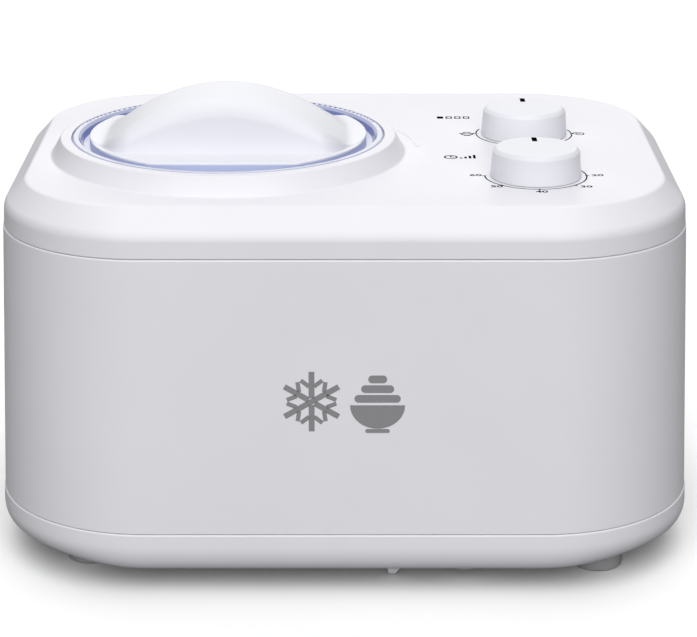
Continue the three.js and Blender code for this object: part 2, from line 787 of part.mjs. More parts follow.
// ---------- controls ----------
function knob() {
  const low = TOP_Z + 0.4;
  const high = TOP_Z + KNOB_HEIGHT;
  return lathe([
    [0, low + 11],
    [3.3, low + 11],
    [3.3, low + 0.6],
    [6.5, low + 0.6],
    [6.5, high - 3],
    [KNOB_RADIUS - 3.4, high - 3],
    [KNOB_RADIUS - 2.2, low],
    [KNOB_RADIUS, low],
    [KNOB_RADIUS - 1.0, high - 2.6],
    [KNOB_RADIUS - 2, high - 0.8],
    [KNOB_RADIUS - 4.5, high],
    [0, high],
  ], 28);
}

function rotarySwitch() {
  const body = box([-15, 15], [-15, 15], [186, 203]);
  const neck = rod(4.6, 200, TOP_Z - 4, 12);
  return body.add(neck).subtract(rod(3.2, 189, TOP_Z, 12));
}

function addControls(group) {
  for (const [name, y] of [['menu', MENU_Y], ['time', TIME_Y]]) {
    const station = groupAt(KNOB_X, y);
    group.add(station);
    piece(station, `${name}_knob`, knob(), material.shell);
    piece(station, `${name}_shaft`, rod(3, 190, TOP_Z + 10.6, 12), material.nylon);
    piece(station, `${name}_switch`, rotarySwitch(), material.black);
  }
}

// ---------- refrigeration ----------
function chassisPlate() {
  const sheet = plate(roundedRectangle([12, 164], [-106, 128], 30), CHASSIS_Z, CHASSIS_Z + 1.5);
  const mountHoles = mountPoints().map(([x, y]) => rod(3.3, 10, 30, 12).translate([x, y, 0]));
  const airSlot = box([40, 118], [30, 84], [10, 30]);
  return mountHoles.reduce((solid, hole) => solid.subtract(hole), sheet.subtract(airSlot));
}

function mountPoints() {
  return [90, 210, 330].map((degrees) => {
    const [x, y] = polar(MOUNT_CIRCLE, degrees, 0);
    return [COMPRESSOR_X + x, COMPRESSOR_Y + y];
  });
}

function compressorCan() {
  return lathe([
    [0, 32.2],
    [24, 32.2],
    [27, 36],
    [40, 46],
    [COMPRESSOR_RADIUS, 56],
    [COMPRESSOR_RADIUS, 92],
    [COMPRESSOR_RADIUS + 2.5, 92],
    [COMPRESSOR_RADIUS + 2.5, 96],
    [COMPRESSOR_RADIUS, 96],
    [COMPRESSOR_RADIUS, 128],
    [40, 139],
    [27, 146],
    [0, 149],
  ], 24);
}

function compressorBracket() {
  const outline = new THREE.Shape();
  mountPoints().forEach(([x, y], i) => {
    const angle = rad(90 + 120 * i);
    outline.absarc(x - COMPRESSOR_X, y - COMPRESSOR_Y, 9, angle - 1.05, angle + 1.05);
  });
  let bracket = plate(outline, 30, 31.9, 5).translate([COMPRESSOR_X, COMPRESSOR_Y, 0]);
  for (const [x, y] of mountPoints()) {
    bracket = bracket.subtract(rod(3.3, 20, 40, 12).translate([x, y, 0]));
  }
  return bracket;
}

function grommet() {
  return ring([[3.3, 21.8], [9, 21.8], [7, 25.7], [9, 29.7], [3.3, 29.7]], 12);
}

function mountBolt() {
  return lathe([[0, 17], [2.9, 17], [2.9, 32.2], [5.2, 32.2], [5.2, 35.4], [0, 35.4]], 12);
}

function condenser() {
  const [x0, x1] = [FAN_X - SHROUD_SIZE / 2, FAN_X + SHROUD_SIZE / 2];
  const fins = 14;
  const pitch = (x1 - x0 - 3) / fins;
  const outline = new THREE.Shape();
  outline.moveTo(x0, 108);
  outline.lineTo(x1, 108);
  for (let fin = fins; fin >= 0; fin -= 1) {
    const x = x0 + fin * pitch;
    outline.lineTo(x + 3, 132);
    outline.lineTo(x, 132);
    if (fin > 0) {
      outline.lineTo(x, 116);
      outline.lineTo(x - pitch + 3, 116);
    }
  }
  return plate(outline, FAN_Z - SHROUD_SIZE / 2 + 1, FAN_Z + SHROUD_SIZE / 2 - 2);
}

// The fan pieces are modelled about Z and their group is turned so that the axis lies along Y.
function fanShroud() {
  const half = SHROUD_SIZE / 2;
  const square = roundedRectangle([-half, half], [-half + 2, half - 2], 6);
  square.holes.push(new THREE.Path().absarc(0, 0, FAN_RADIUS + 3, 0, Math.PI * 2, true));
  let shroud = plate(square, -12, 8, 8);
  for (const angle of [45, 135]) {
    shroud = shroud.add(box([-56, 56], [-3.5, 3.5], [6, 12]).rotate([0, 0, angle]));
  }
  return shroud.add(rod(20, 6, 12, 14)).subtract(rod(4, 0, 20, 12));
}

function fanImpeller() {
  let impeller = rod(14, -7, 5, 14).add(rod(2, 0, 20, 8));
  const blades = 5;
  for (let i = 0; i < blades; i += 1) {
    const blade = box([10, FAN_RADIUS], [-11, 11], [-0.8, 0.8]).rotate([28, 0, 0]);
    impeller = impeller.add(blade.rotate([0, 0, (360 * i) / blades]));
  }
  return impeller;
}

function fanMotor() {
  return lathe([[0, 36], [12, 36], [17, 33], [17, 15], [13, 12.3], [2.3, 12.3], [2.3, 24], [0, 24]], 16);
}

function filterDrier() {
  return lathe([[0, 60], [3, 60], [3, 66], [9, 72], [9, 108], [3, 114], [3, 120], [0, 120]], 12);
}

function addRefrigeration(group) {
  const [lineX, lineY] = polar(98.3, LINE_ANGLE, 0);
  const coilX = POT_X + lineX;
  const coilY = POT_Y + lineY;
  const drierX = 150;
  const drierY = 70;
  const condenserRight = FAN_X + SHROUD_SIZE / 2 + GAP;
  const canLeft = COMPRESSOR_X - COMPRESSOR_RADIUS - GAP;
  const canBack = COMPRESSOR_Y + COMPRESSOR_RADIUS + GAP;

  piece(group, 'chassis_plate', chassisPlate(), material.steel);
  piece(group, 'compressor', compressorCan(), material.darkMetal, [COMPRESSOR_X, COMPRESSOR_Y, 0]);
  piece(group, 'compressor_bracket', compressorBracket(), material.steel);
  mountPoints().forEach(([x, y], i) => {
    piece(group, `compressor_grommet_${i + 1}`, grommet(), material.rubber, [x, y, 0]);
    piece(group, `compressor_bolt_${i + 1}`, mountBolt(), material.steel, [x, y, 0]);
  });
  piece(group, 'start_relay', box([143.6, 158], [-63, -33], [66, 90]), material.black);
  piece(group, 'condenser', condenser(), material.aluminium);
  piece(group, 'filter_drier', filterDrier(), material.copper, [drierX, drierY, 0]);

  const fan = groupAt(FAN_X, FAN_Y, FAN_Z);
  fan.rotation.x = Math.PI / 2;
  group.add(fan);
  piece(fan, 'fan_shroud', fanShroud(), material.black);
  piece(fan, 'fan_impeller', fanImpeller(), material.black);
  piece(fan, 'fan_motor', fanMotor(), material.darkMetal);

  piece(group, 'suction_line', pipe([
    [coilX, coilY, COIL_LOW_Z],
    [coilX + 9, coilY + 3.3, COIL_LOW_Z],
    [coilX + 17, coilY - 6, COIL_LOW_Z - 2],
    [coilX + 15, coilY - 34, 108],
    [canLeft - 12, COMPRESSOR_Y + 3, 106],
    [canLeft, COMPRESSOR_Y, 106],
  ], 3.2), material.copper);
  piece(group, 'discharge_line', pipe([
    [COMPRESSOR_X, canBack, 118],
    [COMPRESSOR_X, canBack + 10, 118],
    [COMPRESSOR_X + 6, canBack + 24, 132],
    [COMPRESSOR_X + 24, canBack + 60, 146],
    [138, 96, 146],
    [138, 112, 136],
    [130, 118, 126],
    [condenserRight, 118, 126],
  ], 2.6), material.copper);
  piece(group, 'liquid_line', pipe([
    [condenserRight, 118, 40],
    [132, 118, 40],
    [146, 106, 40],
    [drierX, 84, 40],
    [drierX, drierY, 50],
    [drierX, drierY, 60 - GAP],
  ], 2.4), material.copper);
  piece(group, 'capillary_tube', pipe([
    [drierX, drierY, 120 + GAP],
    [drierX, drierY, 140],
    [138, 60, 158],
    [96, 52, 164],
    [56, 36, 176],
    [coilX + 12, coilY + 4.4, COIL_HIGH_Z],
    [coilX, coilY, COIL_HIGH_Z],
  ], 1.3), material.copper);
}

// ---------- electrics ----------
function controlBoard() {
  let board = box([-148, -64], [118, 119.6], [60, 132]);
  board = board.add(box([-140, -112], [100, 119], [70, 96]));
  board = board.add(box([-104, -88], [103, 119], [70, 88]));
  board = board.add(box([-82, -70], [106, 119], [96, 122]));
  board = board.add(rod(6, 0, 16, 16).rotate([90, 0, 0]).translate([-128, 119, 116]));
  return board;
}

function boardBracket() {
  const foot = box([-138, -74], [104, 122], [BASE_Z + WALL + GAP, 18]);
  const back = box([-142, -70], [120.2, 124], [16, 110]);
  const lip = box([-142, -70], [114, 124], [54, 59.6]);
  return foot.add(back).add(lip);
}

function addElectrics(group) {
  piece(group, 'control_board', controlBoard(), material.board);
  piece(group, 'board_bracket', boardBracket(), material.black);
  piece(group, 'wiring_loom', pipe([
    [-63, 118.8, 114],
    [-52, 118, 114],
    [-24, 110, 140],
    [20, 98, 156],
    [70, 82, 170],
    [98, 62, 186],
    [KNOB_X, 48, 194],
    [KNOB_X, MENU_Y + 15 + GAP, 195],
  ], 2.5), material.black);
}

// ---------- assembly ----------
const machine = new THREE.Group();
machine.name = 'yogurt_maker';
addCase(machine);
addPot(machine);
addControls(machine);
addRefrigeration(machine);
addElectrics(machine);
machine.updateMatrixWorld(true);

export default machine;
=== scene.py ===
"""A frozen-yogurt maker with its own compressor: the looks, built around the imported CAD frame.

Lengths are in millimetres until a mesh is made, and +X is the user's right, -Y the front and +Z up.
"""

import json
import math

import bmesh
import bpy
from mathutils import Matrix, Vector
from mathutils.geometry import tessellate_polygon

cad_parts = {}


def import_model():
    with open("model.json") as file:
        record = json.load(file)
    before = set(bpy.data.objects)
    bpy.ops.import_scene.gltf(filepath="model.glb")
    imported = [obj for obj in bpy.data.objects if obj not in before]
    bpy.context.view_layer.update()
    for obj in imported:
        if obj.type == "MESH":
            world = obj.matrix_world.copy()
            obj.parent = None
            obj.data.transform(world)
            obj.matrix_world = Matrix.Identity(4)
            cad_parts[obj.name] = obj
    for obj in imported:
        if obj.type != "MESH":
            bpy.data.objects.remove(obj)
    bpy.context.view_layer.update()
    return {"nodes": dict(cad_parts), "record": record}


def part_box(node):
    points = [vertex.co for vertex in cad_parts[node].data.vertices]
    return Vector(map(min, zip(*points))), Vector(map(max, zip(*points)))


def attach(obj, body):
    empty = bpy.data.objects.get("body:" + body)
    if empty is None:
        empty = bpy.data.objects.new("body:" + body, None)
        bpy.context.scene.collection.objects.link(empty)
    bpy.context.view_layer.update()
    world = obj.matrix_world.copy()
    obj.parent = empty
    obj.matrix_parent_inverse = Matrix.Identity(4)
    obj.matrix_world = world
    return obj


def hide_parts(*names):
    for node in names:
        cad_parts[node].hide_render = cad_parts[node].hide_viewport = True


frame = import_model()

MM = 0.001


def box_mm(node):
    low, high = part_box(node)
    return low / MM, high / MM


# ---------- measures, from the frame ----------
SLEEVE_LOW, SLEEVE_HIGH = box_mm("body_sleeve")
COVER_LOW, COVER_HIGH = box_mm("top_cover")
LID_LOW, LID_HIGH = box_mm("lid_disc")
PLATE_LOW, PLATE_HIGH = box_mm("lid_handle")
BOWL_FLOOR = box_mm("mixing_bowl")[0].z
CUP_LOW, CUP_HIGH = box_mm("evaporator_cup")
GASKET_LOW, GASKET_HIGH = box_mm("chamber_gasket")
SEAL_LOW, SEAL_HIGH = box_mm("lid_seal")
BAIL_LOW, BAIL_HIGH = box_mm("bowl_bail")
PADDLE_LOW, PADDLE_HIGH = box_mm("paddle")
GRILLE_LOW, GRILLE_HIGH = box_mm("rear_grille")
GLAND_LOW, GLAND_HIGH = box_mm("cord_gland")
KNOBS = {name: box_mm(f"{name}_knob") for name in ("menu", "time")}

POT = (LID_LOW + LID_HIGH) / 2
POT_X, POT_Y = POT.x, POT.y  # the axis of the lid, the bowl and the paddle
LID_RADIUS = (LID_HIGH.x - LID_LOW.x) / 2

# ---------- measures of the case ----------
CORNER_X, CORNER_Y = 108.0, 63.0  # centres of the case's rounded corners
DRAFT = math.tan(math.radians(2.25))
WALL = 3.0
PROUD = 0.4  # each casing part stands this far out from the one above it
EDGE = 0.9  # rounded upper edge that catches the light at a seam
BASE_Z = 11.0
BASE_REACH = 14.0  # how far in the rolled lower edge of the base goes
BASE_RISE = 17.0  # and how far up the wall
BASE_PINCH = 10.0  # how much further in it goes at the middle of each corner
TOP_Z = 214.0
COLLAR_Z = COVER_HIGH.z
LEDGE_Z = 203.5  # the ledge in the collar, under the bowl's flange
PILLARS = [(-58, -42), (58, -42), (-58, 42), (58, 42)]  # from the pot's axis
PILLAR_TOP = 61.7
POSTS = [(20, -96), (160, -40), (20, 40), (150, 100)]  # under the chassis plate
POST_TOP = 19.7
SCREWS = [(-171, -40), (171, -40), (-171, 40), (171, 40)]
SCREW_TOP = 46.0
VENTS, VENT_X, VENT_PITCH, VENT_WIDTH = 5, 48, 13, 5  # slots through the base's floor
VENT_FRONT, VENT_BACK = 30, 84
DOME_X, DOME_Y = 66, -117  # a shallow dome under the base
GRILLE_MARGIN, GRILLE_PITCH, GRILLE_SLOT = 9.7, 9.0, 4.0
GRILLE_GAP = 0.3
GLAND_HOLE = 9.3
SPINDLE_HOLE = 5.0
BAYONETS = (30, 150, 270)  # degrees round the pot's axis, of the lid's lugs and of their entries

# ---------- measures of the lid and its grip, from the pot's axis ----------
LID_FLOOR = COLLAR_Z - 5  # the dished floor of the lid
RIM_INNER, RIM_OUTER = 84.9, 86.9  # the flat rim, which has ribs at the back
RIB_DEPTH = 0.8
PLATE_TOP = COLLAR_Z + 0.1
PLATE_FRONT, PLATE_BACK = -67.2, 41.0  # the plate's straight edges
PLATE_RADIUS = (PLATE_HIGH.x - PLATE_LOW.x) / 2
PLATE_EDGE = 0.7
PLATE_THICKNESS = 1.8
GRIP_WALL = 2.6
ARCH_SPAN = 72.0
ARCH_HEIGHT = PLATE_HIGH.z - PLATE_TOP
ARCH_FRONT, RIDGE_BACK, ARCH_BACK = -47.7, -4.0, 40.0
ROLL = 11.7  # height of the rounded front edge of the grip
ROLL_DEPTH = 7.0  # and how far back it reaches
STRAIGHT = 52.0  # the foot of the face is straight as far as this, on both sides
END_CURVE = 0.05
RUN_OUT = 2.0  # the arch runs out into the plate over this height at front and back
END_RUN_OUT = 3.0  # and over this height at both ends

# ---------- measures of the bowl, the chamber and the prints ----------
BAIL_Z = (BAIL_LOW.z + BAIL_HIGH.z) / 2
BAIL_RADIUS, BAIL_WIRE, BAIL_END = 67.3, 1.4, 75.6
BOWL_RADIUS, BOWL_WALL, BOWL_FLANGE = 66.5, 1.5, 80.0
CUP_RADIUS, CUP_WALL, CUP_FLANGE = 69.3, 1.2, 86.0
HUB_RADIUS = 13.6  # of the hole in the paddle's hub
SOCKET_LOW, SOCKET_HIGH = 137, 149  # the square socket for the drive shaft
PRINT_HEIGHT = 0.05
NUMERAL_SIZE = 5.2
TIME_NUMERALS = [
    ("60", -32.8, 1.2),
    ("50", -22.6, -22.0),
    ("40", 0.9, -32.6),
    ("30", 25.6, -22.4),
    ("20", 33.9, 1.0),
]  # right of and behind the knob's axis

# ---------- light and camera ----------
# elevation in degrees from the front, brightness, the cosines at the box's edge and at its core, and
# how much narrower the box is from side to side
SOFTBOXES = [(35, 2.23, 0.3, 0.9, 0.8), (135, 1.23, 0.3, 0.9, 0.5)]
FLOOR_BOUNCE = 0.22  # the floor throws little light back up
CAMERA_PLACE = (0.00207, -1.32144, 0.5522)  # in metres
CAMERA_TILT = 71.44  # degrees up from straight down
CAMERA_LENS, CAMERA_SENSOR = 122.35, 36.0

# ---------- fineness ----------
CORNER_STEPS = 30
BASE_STEPS = 12  # along the rolled lower edge
ROUND = 144  # segments round a large turned piece
LID_SEGMENTS = 400
HANDLE_SECTIONS = 110
DIP = 0.3  # how far in the middle of a rounded edge lies, over its radius


def case_radius(z):
    """Corner radius of the drafted case wall at a height."""
    return SLEEVE_HIGH.x - CORNER_X - (z - SLEEVE_LOW.z) * DRAFT


def sleeve_radius(z):
    """The sleeve's own wall, which leans a little more, so that the base stands proud of it."""
    share = (z - SLEEVE_LOW.z) / (SLEEVE_HIGH.z - SLEEVE_LOW.z)
    return case_radius(z) - PROUD * (1 - share)


# ---------- mesh building ----------
def turn(x, y, degrees):
    c, s = math.cos(math.radians(degrees)), math.sin(math.radians(degrees))
    return x * c - y * s, x * s + y * c


def polar(radius, degrees):
    return turn(radius, 0, degrees)


def rounded(points, wrap=False, step=9):
    """A 2-D outline in which each (a, b, radius) corner becomes an arc."""
    outline = []
    count = len(points)
    for i, point in enumerate(points):
        here = Vector(point[:2])
        if len(point) < 3 or (not wrap and i in (0, count - 1)):
            outline.append((here.x, here.y))
            continue
        back = Vector(points[i - 1][:2]) - here
        ahead = Vector(points[(i + 1) % count][:2]) - here
        half = back.angle(ahead) / 2
        reach = min(point[2] / math.tan(half), 0.49 * back.length, 0.49 * ahead.length)
        middle = (back.normalized() + ahead.normalized()).normalized()
        centre = here + middle * (reach / math.cos(half))
        start = here + back.normalized() * reach - centre
        end = here + ahead.normalized() * reach - centre
        angle = math.atan2(start.y, start.x)
        sweep = math.atan2(end.y, end.x) - angle
        sweep = (sweep + math.pi) % (2 * math.pi) - math.pi
        steps = max(2, math.ceil(math.degrees(abs(sweep)) / step))
        for k in range(steps + 1):
            a = angle + sweep * k / steps
            outline.append((centre.x + start.length * math.cos(a), centre.y + start.length * math.sin(a)))
    return outline


def circle(x, y, radius, segments):
    angles = [math.tau * k / segments for k in range(segments)]
    return [(x + radius * math.cos(a), y + radius * math.sin(a)) for a in angles]


def rectangle(x0, x1, y0, y1, radius, step=15):
    corners = [(x1, y0, radius), (x1, y1, radius), (x0, y1, radius), (x0, y0, radius)]
    return rounded(corners, wrap=True, step=step)


def case_ring(radius, z, pinch=0.0):
    """The case outline at one level: a rounded rectangle whose corners keep their centres."""
    points = []
    for quarter in range(4):
        centre_x = CORNER_X if quarter in (0, 3) else -CORNER_X
        centre_y = CORNER_Y if quarter < 2 else -CORNER_Y
        for k in range(CORNER_STEPS + 1):
            corner = math.sin(math.pi * k / CORNER_STEPS) ** 2
            x, y = polar(radius - pinch * corner, 90 * (quarter + k / CORNER_STEPS))
            points.append((centre_x + x, centre_y + y, z))
    return points


def round_box(low, high):
    """X, Y and radius of a piece that is round about a vertical axis."""
    return (low.x + high.x) / 2, (low.y + high.y) / 2, (high.x - low.x) / 2


def laid(x, y, z, axis):
    """Lays a turned piece down about an axis, and puts it in its place."""
    return Matrix.Translation((x, y, z)) @ Matrix.Rotation(math.radians(90), 4, axis)


def heading(path, i):
    """The direction of a path at one of its points."""
    return (path[min(i + 1, len(path) - 1)] - path[max(i - 1, 0)]).normalized()


class Shell:
    """Rings of points in millimetres, and the faces between them."""

    def __init__(self):
        self.points = []
        self.faces = []

    def ring(self, points):
        first = len(self.points)
        self.points += [tuple(point) for point in points]
        return list(range(first, len(self.points)))

    def flat(self, outline, z):
        return self.ring([(x, y, z) for x, y in outline])

    def skin(self, rings, wrap=False, closed=True):
        for a, b in zip(rings, rings[1:] + (rings[:1] if wrap else [])):
            count = len(a)
            for i in range(count if closed else count - 1):
                j = (i + 1) % count
                self.faces.append((a[i], a[j], b[j], b[i]))
        return rings

    def fill(self, outer, holes=()):
        loops = [outer, *holes]
        order = [i for loop in loops for i in loop]
        corners = [[Vector(self.points[i]) for i in loop] for loop in loops]
        for triangle in tessellate_polygon(corners):
            self.faces.append(tuple(order[k] for k in triangle))

    def capped(self, rings):
        """Walls through the rings, filled at the first and the last."""
        self.skin(rings)
        self.fill(rings[0])
        self.fill(rings[-1])

    def turned(self, profile, segments=ROUND, x=0.0, y=0.0, wrap=False):
        """Turns a (radius, z) profile about a vertical axis."""
        rings = [self.flat(circle(x, y, radius, segments), z) for radius, z in profile]
        return self.skin(rings, wrap)

    def blind(self, profile, segments, x, y):
        """A turned boss or hollow that is filled at its end. Gives the ring where it starts."""
        rings = self.turned(profile, segments, x, y)
        self.fill(rings[-1])
        return rings[0]


def placed(name, data):
    """An object of its own in the scene, for a mesh, a curve or a camera."""
    thing = bpy.data.objects.new(name, data)
    bpy.context.scene.collection.objects.link(thing)
    return thing


def evaluated_mesh(thing):
    evaluated = thing.evaluated_get(bpy.context.evaluated_depsgraph_get())
    return bpy.data.meshes.new_from_object(evaluated)


def make(name, shell, place=Matrix.Identity(4)):
    """A closed mesh object from a shell, with its faces turned outwards."""
    mesh = bpy.data.meshes.new(name)
    mesh.from_pydata([place @ Vector(point) * MM for point in shell.points], [], shell.faces)
    edit = bmesh.new()
    edit.from_mesh(mesh)
    bmesh.ops.remove_doubles(edit, verts=edit.verts, dist=2e-6)
    bmesh.ops.dissolve_degenerate(edit, edges=edit.edges, dist=1e-7)
    bmesh.ops.recalc_face_normals(edit, faces=edit.faces)
    edit.to_mesh(mesh)
    edit.free()
    return placed(name, mesh)


def combine(piece, others, operation):
    """Joins the others to a piece, or cuts them from it."""
    for other in others:
        modifier = piece.modifiers.new(other.name, "BOOLEAN")
        modifier.operation = operation
        modifier.solver = "EXACT"
        modifier.object = other
    mesh = evaluated_mesh(piece)
    piece.modifiers.clear()
    piece.data = mesh
    for other in others:
        bpy.data.objects.remove(other)


def lathe(node, corners, segments=ROUND, x=POT_X, y=POT_Y, wrap=True, step=9, place=Matrix.Identity(4)):
    """The piece for a CAD node that is turned about a vertical axis, from the corners of its profile."""
    shell = Shell()
    shell.turned(rounded(corners, wrap, step), segments, x, y, wrap)
    return make(f"{node}_fine", shell, place)


def brick(x0, x1, y0, y1, z0, z1, radius, degrees=0.0):
    """A block with rounded edges, measured from the pot's axis and turned about it."""
    shell = Shell()
    dip = DIP * radius
    profile = [(radius, z0), (dip, z0 + dip), (0, z0 + radius)]
    profile += [(0, z1 - radius), (dip, z1 - dip), (radius, z1)]
    rings = []
    for inset, z in profile:
        outline = rectangle(x0 + inset, x1 - inset, y0 + inset, y1 - inset, max(0.05, radius - inset), 30)
        turned = [turn(x, y, degrees) for x, y in outline]
        rings.append(shell.ring([(POT_X + x, POT_Y + y, z) for x, y in turned]))
    shell.capped(rings)
    return shell


def bayonets(name, *measures):
    """Three equal blocks round the pot's axis."""
    return [make(f"{name}_{k}", brick(*measures, degrees)) for k, degrees in enumerate(BAYONETS)]


def rod(radius, low, high, segments=24):
    shell = Shell()
    shell.turned([(0, low), (radius, low), (radius, high), (0, high)], segments)
    return shell


def tube(points, radius, sides=20):
    """A closed round bar through a list of points, with ends rounded off."""
    shell = Shell()
    path = [Vector(point) for point in points]
    cap = [(radius, 0.0), (0.87 * radius, 0.5), (0.5 * radius, 0.87)]  # how far out, and how wide
    normal = None
    rings = []
    for i, here in enumerate(path):
        ahead = heading(path, i)
        if normal is None:
            normal = ahead.orthogonal().normalized()
        normal = (normal - ahead * normal.dot(ahead)).normalized()
        side = ahead.cross(normal)
        ends = [(0, 1.0)]
        if i == 0:
            ends = [(-along, share) for along, share in cap] + ends
        if i == len(path) - 1:
            ends += cap[::-1]
        for along, share in ends:
            rings.append(shell.ring([
                here + ahead * along + radius * share * (normal * math.cos(a) + side * math.sin(a))
                for a in (math.tau * k / sides for k in range(sides))
            ]))
    shell.skin(rings)
    return shell


def finished(piece, body, slot, *nodes, sharp=38, weighted=True):
    """Smooth shading, material, slot and body for a new piece, and the CAD nodes that it stands for."""
    piece.data.shade_smooth()
    piece.data.set_sharp_from_angle(angle=math.radians(sharp))
    if weighted:
        normals = piece.modifiers.new("normals", "WEIGHTED_NORMAL")
        normals.keep_sharp = True
    piece.data.materials.clear()
    piece.data.materials.append(MATERIALS[slot])
    if nodes:
        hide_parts(*nodes)
    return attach(piece, body)


def rebuilt(piece, body, slot, sharp=38):
    """Finishes the piece NODE_fine, which stands for the CAD node NODE."""
    finished(piece, body, slot, piece.name.removesuffix("_fine"), sharp=sharp)


# ---------- materials ----------
class Tree:
    """A node tree, with one call for each node."""

    def __init__(self, tree):
        self.tree = tree

    def add(self, kind, inputs=(), **settings):
        node = self.tree.nodes.new(f"ShaderNode{kind}")
        for key, value in settings.items():
            setattr(node, key, value)
        for key, value in dict(inputs).items():
            if isinstance(value, bpy.types.NodeSocket):
                self.tree.links.new(value, node.inputs[key])
            else:
                node.inputs[key].default_value = value
        return node

    def maths(self, operation, *values):
        return self.add("Math", dict(enumerate(values)), operation=operation).outputs[0]

    def vector(self, operation, *values):
        node = self.add("VectorMath", dict(enumerate(values)), operation=operation)
        return node.outputs["Value" if operation in ("LENGTH", "DOT_PRODUCT") else "Vector"]

    def along(self, axis, vector):
        return self.add("SeparateXYZ", {0: vector}).outputs[axis]

    def ramp(self, value, low, high, start=0.0, end=1.0, **settings):
        """Maps low to high of a value to start to end."""
        inputs = {"Value": value, "From Min": low, "From Max": high, "To Min": start, "To Max": end}
        return self.add("MapRange", inputs, **settings).outputs["Result"]


class Nodes(Tree):
    """A material's node tree, round its principled shader."""

    def __init__(self, name):
        self.material = bpy.data.materials.new(name)
        self.material.use_nodes = True
        super().__init__(self.material.node_tree)
        self.shader = self.tree.nodes["Principled BSDF"]
        self.place = self.add("TexCoord").outputs["Object"]

    def noise(self, scale, detail=3.0, rough=0.55):
        inputs = {"Vector": self.place, "Scale": scale, "Detail": detail, "Roughness": rough}
        return self.add("TexNoise", inputs).outputs["Fac"]

    def spread(self, value, low, high):
        """Maps a 0.3 to 0.7 noise to a range."""
        return self.ramp(value, 0.3, 0.7, low, high)

    def rise(self, low, high):
        """0 below one height, and 1 above another."""
        return self.ramp(self.along("Z", self.place), low * MM, high * MM)

    def blend(self, factor, a, b):
        return self.add("Mix", {"Factor": factor, 6: a, 7: b}, data_type="RGBA").outputs[2]

    def mottled(self, noise, colour, low, high):
        """A darker and a lighter shade of a colour, mixed by a noise."""
        return self.blend(self.spread(noise, 0, 1), tinted(colour, low), tinted(colour, high))

    def bump(self, height, strength, distance, normal=None):
        inputs = {"Height": height, "Strength": strength, "Distance": distance}
        if normal:
            inputs["Normal"] = normal
        return self.add("Bump", inputs).outputs["Normal"]

    def finish(self, base, roughness, normal=None, **constants):
        """Links the shader's sockets, sets its constants and gives the material."""
        self.tree.links.new(base, self.shader.inputs["Base Color"])
        self.tree.links.new(roughness, self.shader.inputs["Roughness"])
        if normal:
            self.tree.links.new(normal, self.shader.inputs["Normal"])
        for key, value in constants.items():
            self.shader.inputs[key.replace("_", " ")].default_value = value
        return self.material


def tinted(colour, factor):
    return tuple(min(1.0, channel * factor) for channel in colour[:3]) + (1.0,)


def plastic(name, colour, roughness, grain=1400, depth=0.02, cloud=0.012, sunk=None):
    """Moulded plastic: a fine spark-eroded grain, a faint cloudiness and uneven gloss.

    The edge of a piece that is let into the clear lid is painted in the colour sunk: painted bluish shade,
    standing in for the shade and the lid's blue round that edge.
    """
    nodes = Nodes(name)
    base = nodes.mottled(nodes.noise(14, 4), colour, 1 - cloud, 1 + cloud)
    # painted bluish shade below the collar's top, where the edge sits down in the lid
    if sunk:
        base = nodes.blend(nodes.rise(COLLAR_Z - 1.4, COLLAR_Z - 0.7), tinted(sunk, 1.0), base)
    gloss = nodes.spread(nodes.noise(60, 5, 0.6), roughness - 0.03, roughness + 0.03)
    waviness = nodes.bump(nodes.noise(30, 2), 0.05, 0.0004)
    normal = nodes.bump(nodes.noise(grain, 2, 0.5), depth, 0.0002, waviness)
    return nodes.finish(base, gloss, normal)


def surface(name, colour, shades, cloud, gloss, smear, relief, grain, distance=0.0002, **constants):
    """Noise in the colour, the gloss and the relief: each one's strength, and the noise that it follows."""
    nodes = Nodes(name)
    base = nodes.mottled(nodes.noise(*cloud), colour, *shades)
    rough = nodes.spread(nodes.noise(*smear), *gloss)
    normal = nodes.bump(nodes.noise(*grain), relief, distance)
    return nodes.finish(base, rough, normal, **constants)


def rubber(name, colour):
    return surface(name, colour, (0.92, 1.1), (90, 5, 0.65), (0.62, 0.8), (300, 3), 0.12, (1800, 3))


def silicone(name, colour):
    glow = {"Subsurface_Weight": 0.15, "Subsurface_Scale": 0.002}
    return surface(name, colour, (0.96, 1.04), (50, 4), (0.5, 0.62), (200, 2), 0.06, (900, 2), **glow)


def enamel(name, colour):
    peel, coat = (260, 2), {"Coat_Weight": 0.4}
    return surface(name, colour, (0.85, 1.25), (30, 4), (0.25, 0.38), peel, 0.1, peel, 0.0003, **coat)


def drawn_metal(name, colour, roughness, tarnish=0.15):
    """Drawn or rolled metal with light tarnish and handling marks."""
    shades, gloss = (1 - tarnish, 1.04), (roughness - 0.08, roughness + 0.1)
    return surface(name, colour, shades, (70, 6, 0.65), gloss, (420, 4), 0.08, (1500, 3), Metallic=1.0)


def ink(name, colour):
    """A dull, thin print, with the slightly broken cover of pad printing."""
    dull = {"Specular_IOR_Level": 0.0}
    cover = (2400, 3, 0.6)
    return surface(name, colour, (0.94, 1.07), cover, (0.4, 0.5), (500, 2), 0.04, cover, 0.0001, **dull)


def clear_blue(name, face, edge, skirt):
    """Clear plastic with a blue tint: pale through a face, and painted deep blue on upright walls, standing
    in for light passing along a wall seen edge on and for painted shade in the groove round the grip.

    Below the dished floor the walls are paler, in the colour skirt.
    """
    nodes = Nodes(name)
    upright = nodes.along("Z", nodes.add("NewGeometry").outputs["Normal"])
    share = nodes.ramp(nodes.maths("ABSOLUTE", upright), 0.2, 0.97)
    # edge: painted deep blue on the upright walls, for the light along the plastic and the shade in the
    # groove round the grip
    wall = nodes.blend(nodes.rise(LID_FLOOR - 2, LID_FLOOR), tinted(skirt, 1.0), tinted(edge, 1.0))
    flow = nodes.noise(35, 3, 0.5)
    base = nodes.blend(share, wall, nodes.mottled(flow, face, 0.97, 1.02))
    gloss = nodes.spread(nodes.noise(120, 3), 0.05, 0.1)
    normal = nodes.bump(flow, 0.03, 0.0004)
    return nodes.finish(base, gloss, normal, Transmission_Weight=0.18, IOR=1.5)


